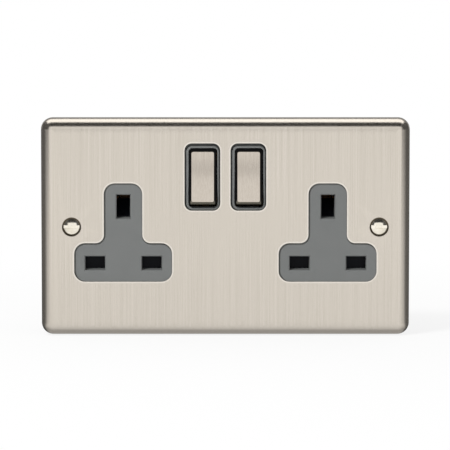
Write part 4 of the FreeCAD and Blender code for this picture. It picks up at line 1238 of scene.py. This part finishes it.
def makeWorld():
    world = bpy.data.worlds.new("studio")
    bpy.context.scene.world = world
    world.use_nodes = True
    book = NodeBook(world.node_tree)
    camera, glossy, through = seenDirectly(book)
    direct = book.add("ShaderNodeClamp", None, {"Value": camera + glossy + through})
    strength = studio["fill"] + direct * (1 - studio["fill"])
    shade = book.add("ShaderNodeBackground", None, {"Color": (1, 1, 1, 1), "Strength": strength})
    book.add("ShaderNodeOutputWorld", None, {"Surface": shade})


def floorInMetal(book):
    # The floor as metal sees it, a glow: painted contact shadow close to the object and painted shade towards
    # the dark sides of the studio
    look = floorLook
    across, forward = book.add("ShaderNodeSeparateXYZ", None, {0: book.objectPlace()}, ["X", "Y"])
    beside = book.maths("ABSOLUTE", across) - look["halfWidth"] * mm
    forward = forward * -1
    gap = book.maths("MAXIMUM", forward - look["front"] * mm, beside)
    turn = book.maths("ARCTAN2", beside + look["sideStart"] * mm, forward) * (1 / math.pi)
    contact = book.ramp(gap / look["reach"], look["contact"])
    return book.glow(contact * book.ramp(book.maths("MAXIMUM", turn, 0.0), look["sides"]) * look["shine"])


def makeFloor():
    look = floorLook
    bm = bmesh.new()
    loops = [roundLoop(0, 0, look["radius"] * share, look["steps"]) for share in (1, look["hub"])]
    rings = [addRing(bm, loop, 0) for loop in loops]
    bridgeAll(bm, rings)
    fillBetween(bm, [rings[-1]])
    material, book = newMaterial("paleFloor")
    camera, glossy, through = seenDirectly(book)
    shade = book.blend(book.noise(*look["paper"]), look["dark"], look["light"])
    diffuse = book.add("ShaderNodeBsdfDiffuse", None, {"Color": shade})
    # the shadow stays near the object, and the floor turns wholly white further off
    away = book.add("ShaderNodeVectorMath", {"operation": "LENGTH"}, {0: book.objectPlace()}, "Value")
    near = book.smoothStep(away, *look["shadowFade"], look["shadowLeast"])
    seen = book.add("ShaderNodeMixShader", None, {0: camera * near, 1: diffuse, 2: book.glow(1.0)})
    # in gloss the floor shows its painted reflection
    surface = book.add("ShaderNodeMixShader", None, {0: glossy, 1: seen, 2: floorInMetal(book)})
    book.add("ShaderNodeOutputMaterial", None, {"Surface": surface})
    floor = meshObject(bm, "floor", material)
    down = Matrix.Translation((0, 0, cadBox[0].z - look["drop"] * mm))
    moved(floor, down @ Matrix.Rotation(math.radians(90), 4, "X"))


def makeCard(name, rows, shade):
    # A strip seen in gloss only, between pairs of points
    bm = bmesh.new()
    rows = [[bm.verts.new(spot) for spot in row] for row in rows]
    for near, far in zip(rows, rows[1:]):
        bm.faces.new((near[0], near[1], far[1], far[0]))
    material, book = newMaterial(name)
    book.add("ShaderNodeOutputMaterial", None, {"Surface": book.glow(shade)})
    piece = meshObject(bm, name, material, scale=1.0)
    for ray in ("camera", "diffuse", "shadow", "transmission", "volume_scatter"):
        setattr(piece, f"visible_{ray}", False)


def makeCards():
    # Strips of a barrel whose axis runs along X, round the object, and dark sides
    for name, (low, high, shade, away) in cards.items():
        turns = [math.radians(low + (high - low) * step / cardSteps) for step in range(cardSteps + 1)]
        spots = [(-math.cos(turn) * away, math.sin(turn) * away) for turn in turns]
        makeCard(name, [[(side * cardHalf, *spot) for side in (-1, 1)] for spot in spots], shade)
    for side in (-1, 1):
        plan = [(side * across, depth) for across, depth in darkSide["plan"]]
        rows = [[(*spot, height) for height in darkSide["heights"]] for spot in plan]
        makeCard(f"side{side + 1}", rows, darkSide["shade"])


def makeKey():
    lamp = bpy.data.lights.new("key", "AREA")
    lamp.shape = "SQUARE"
    lamp.size = studio["keySize"]
    lamp.energy = studio["keyPower"]
    key = newObject("key", lamp)
    key.location = studio["keyPlace"]
    key.rotation_euler = Vector(studio["keyPlace"]).to_track_quat("Z", "Y").to_euler()
    key.visible_glossy = False


makeCamera()
makeWorld()
makeFloor()
makeCards()
makeKey()
bpy.context.scene.view_settings.view_transform = "Standard"
print("studio made")
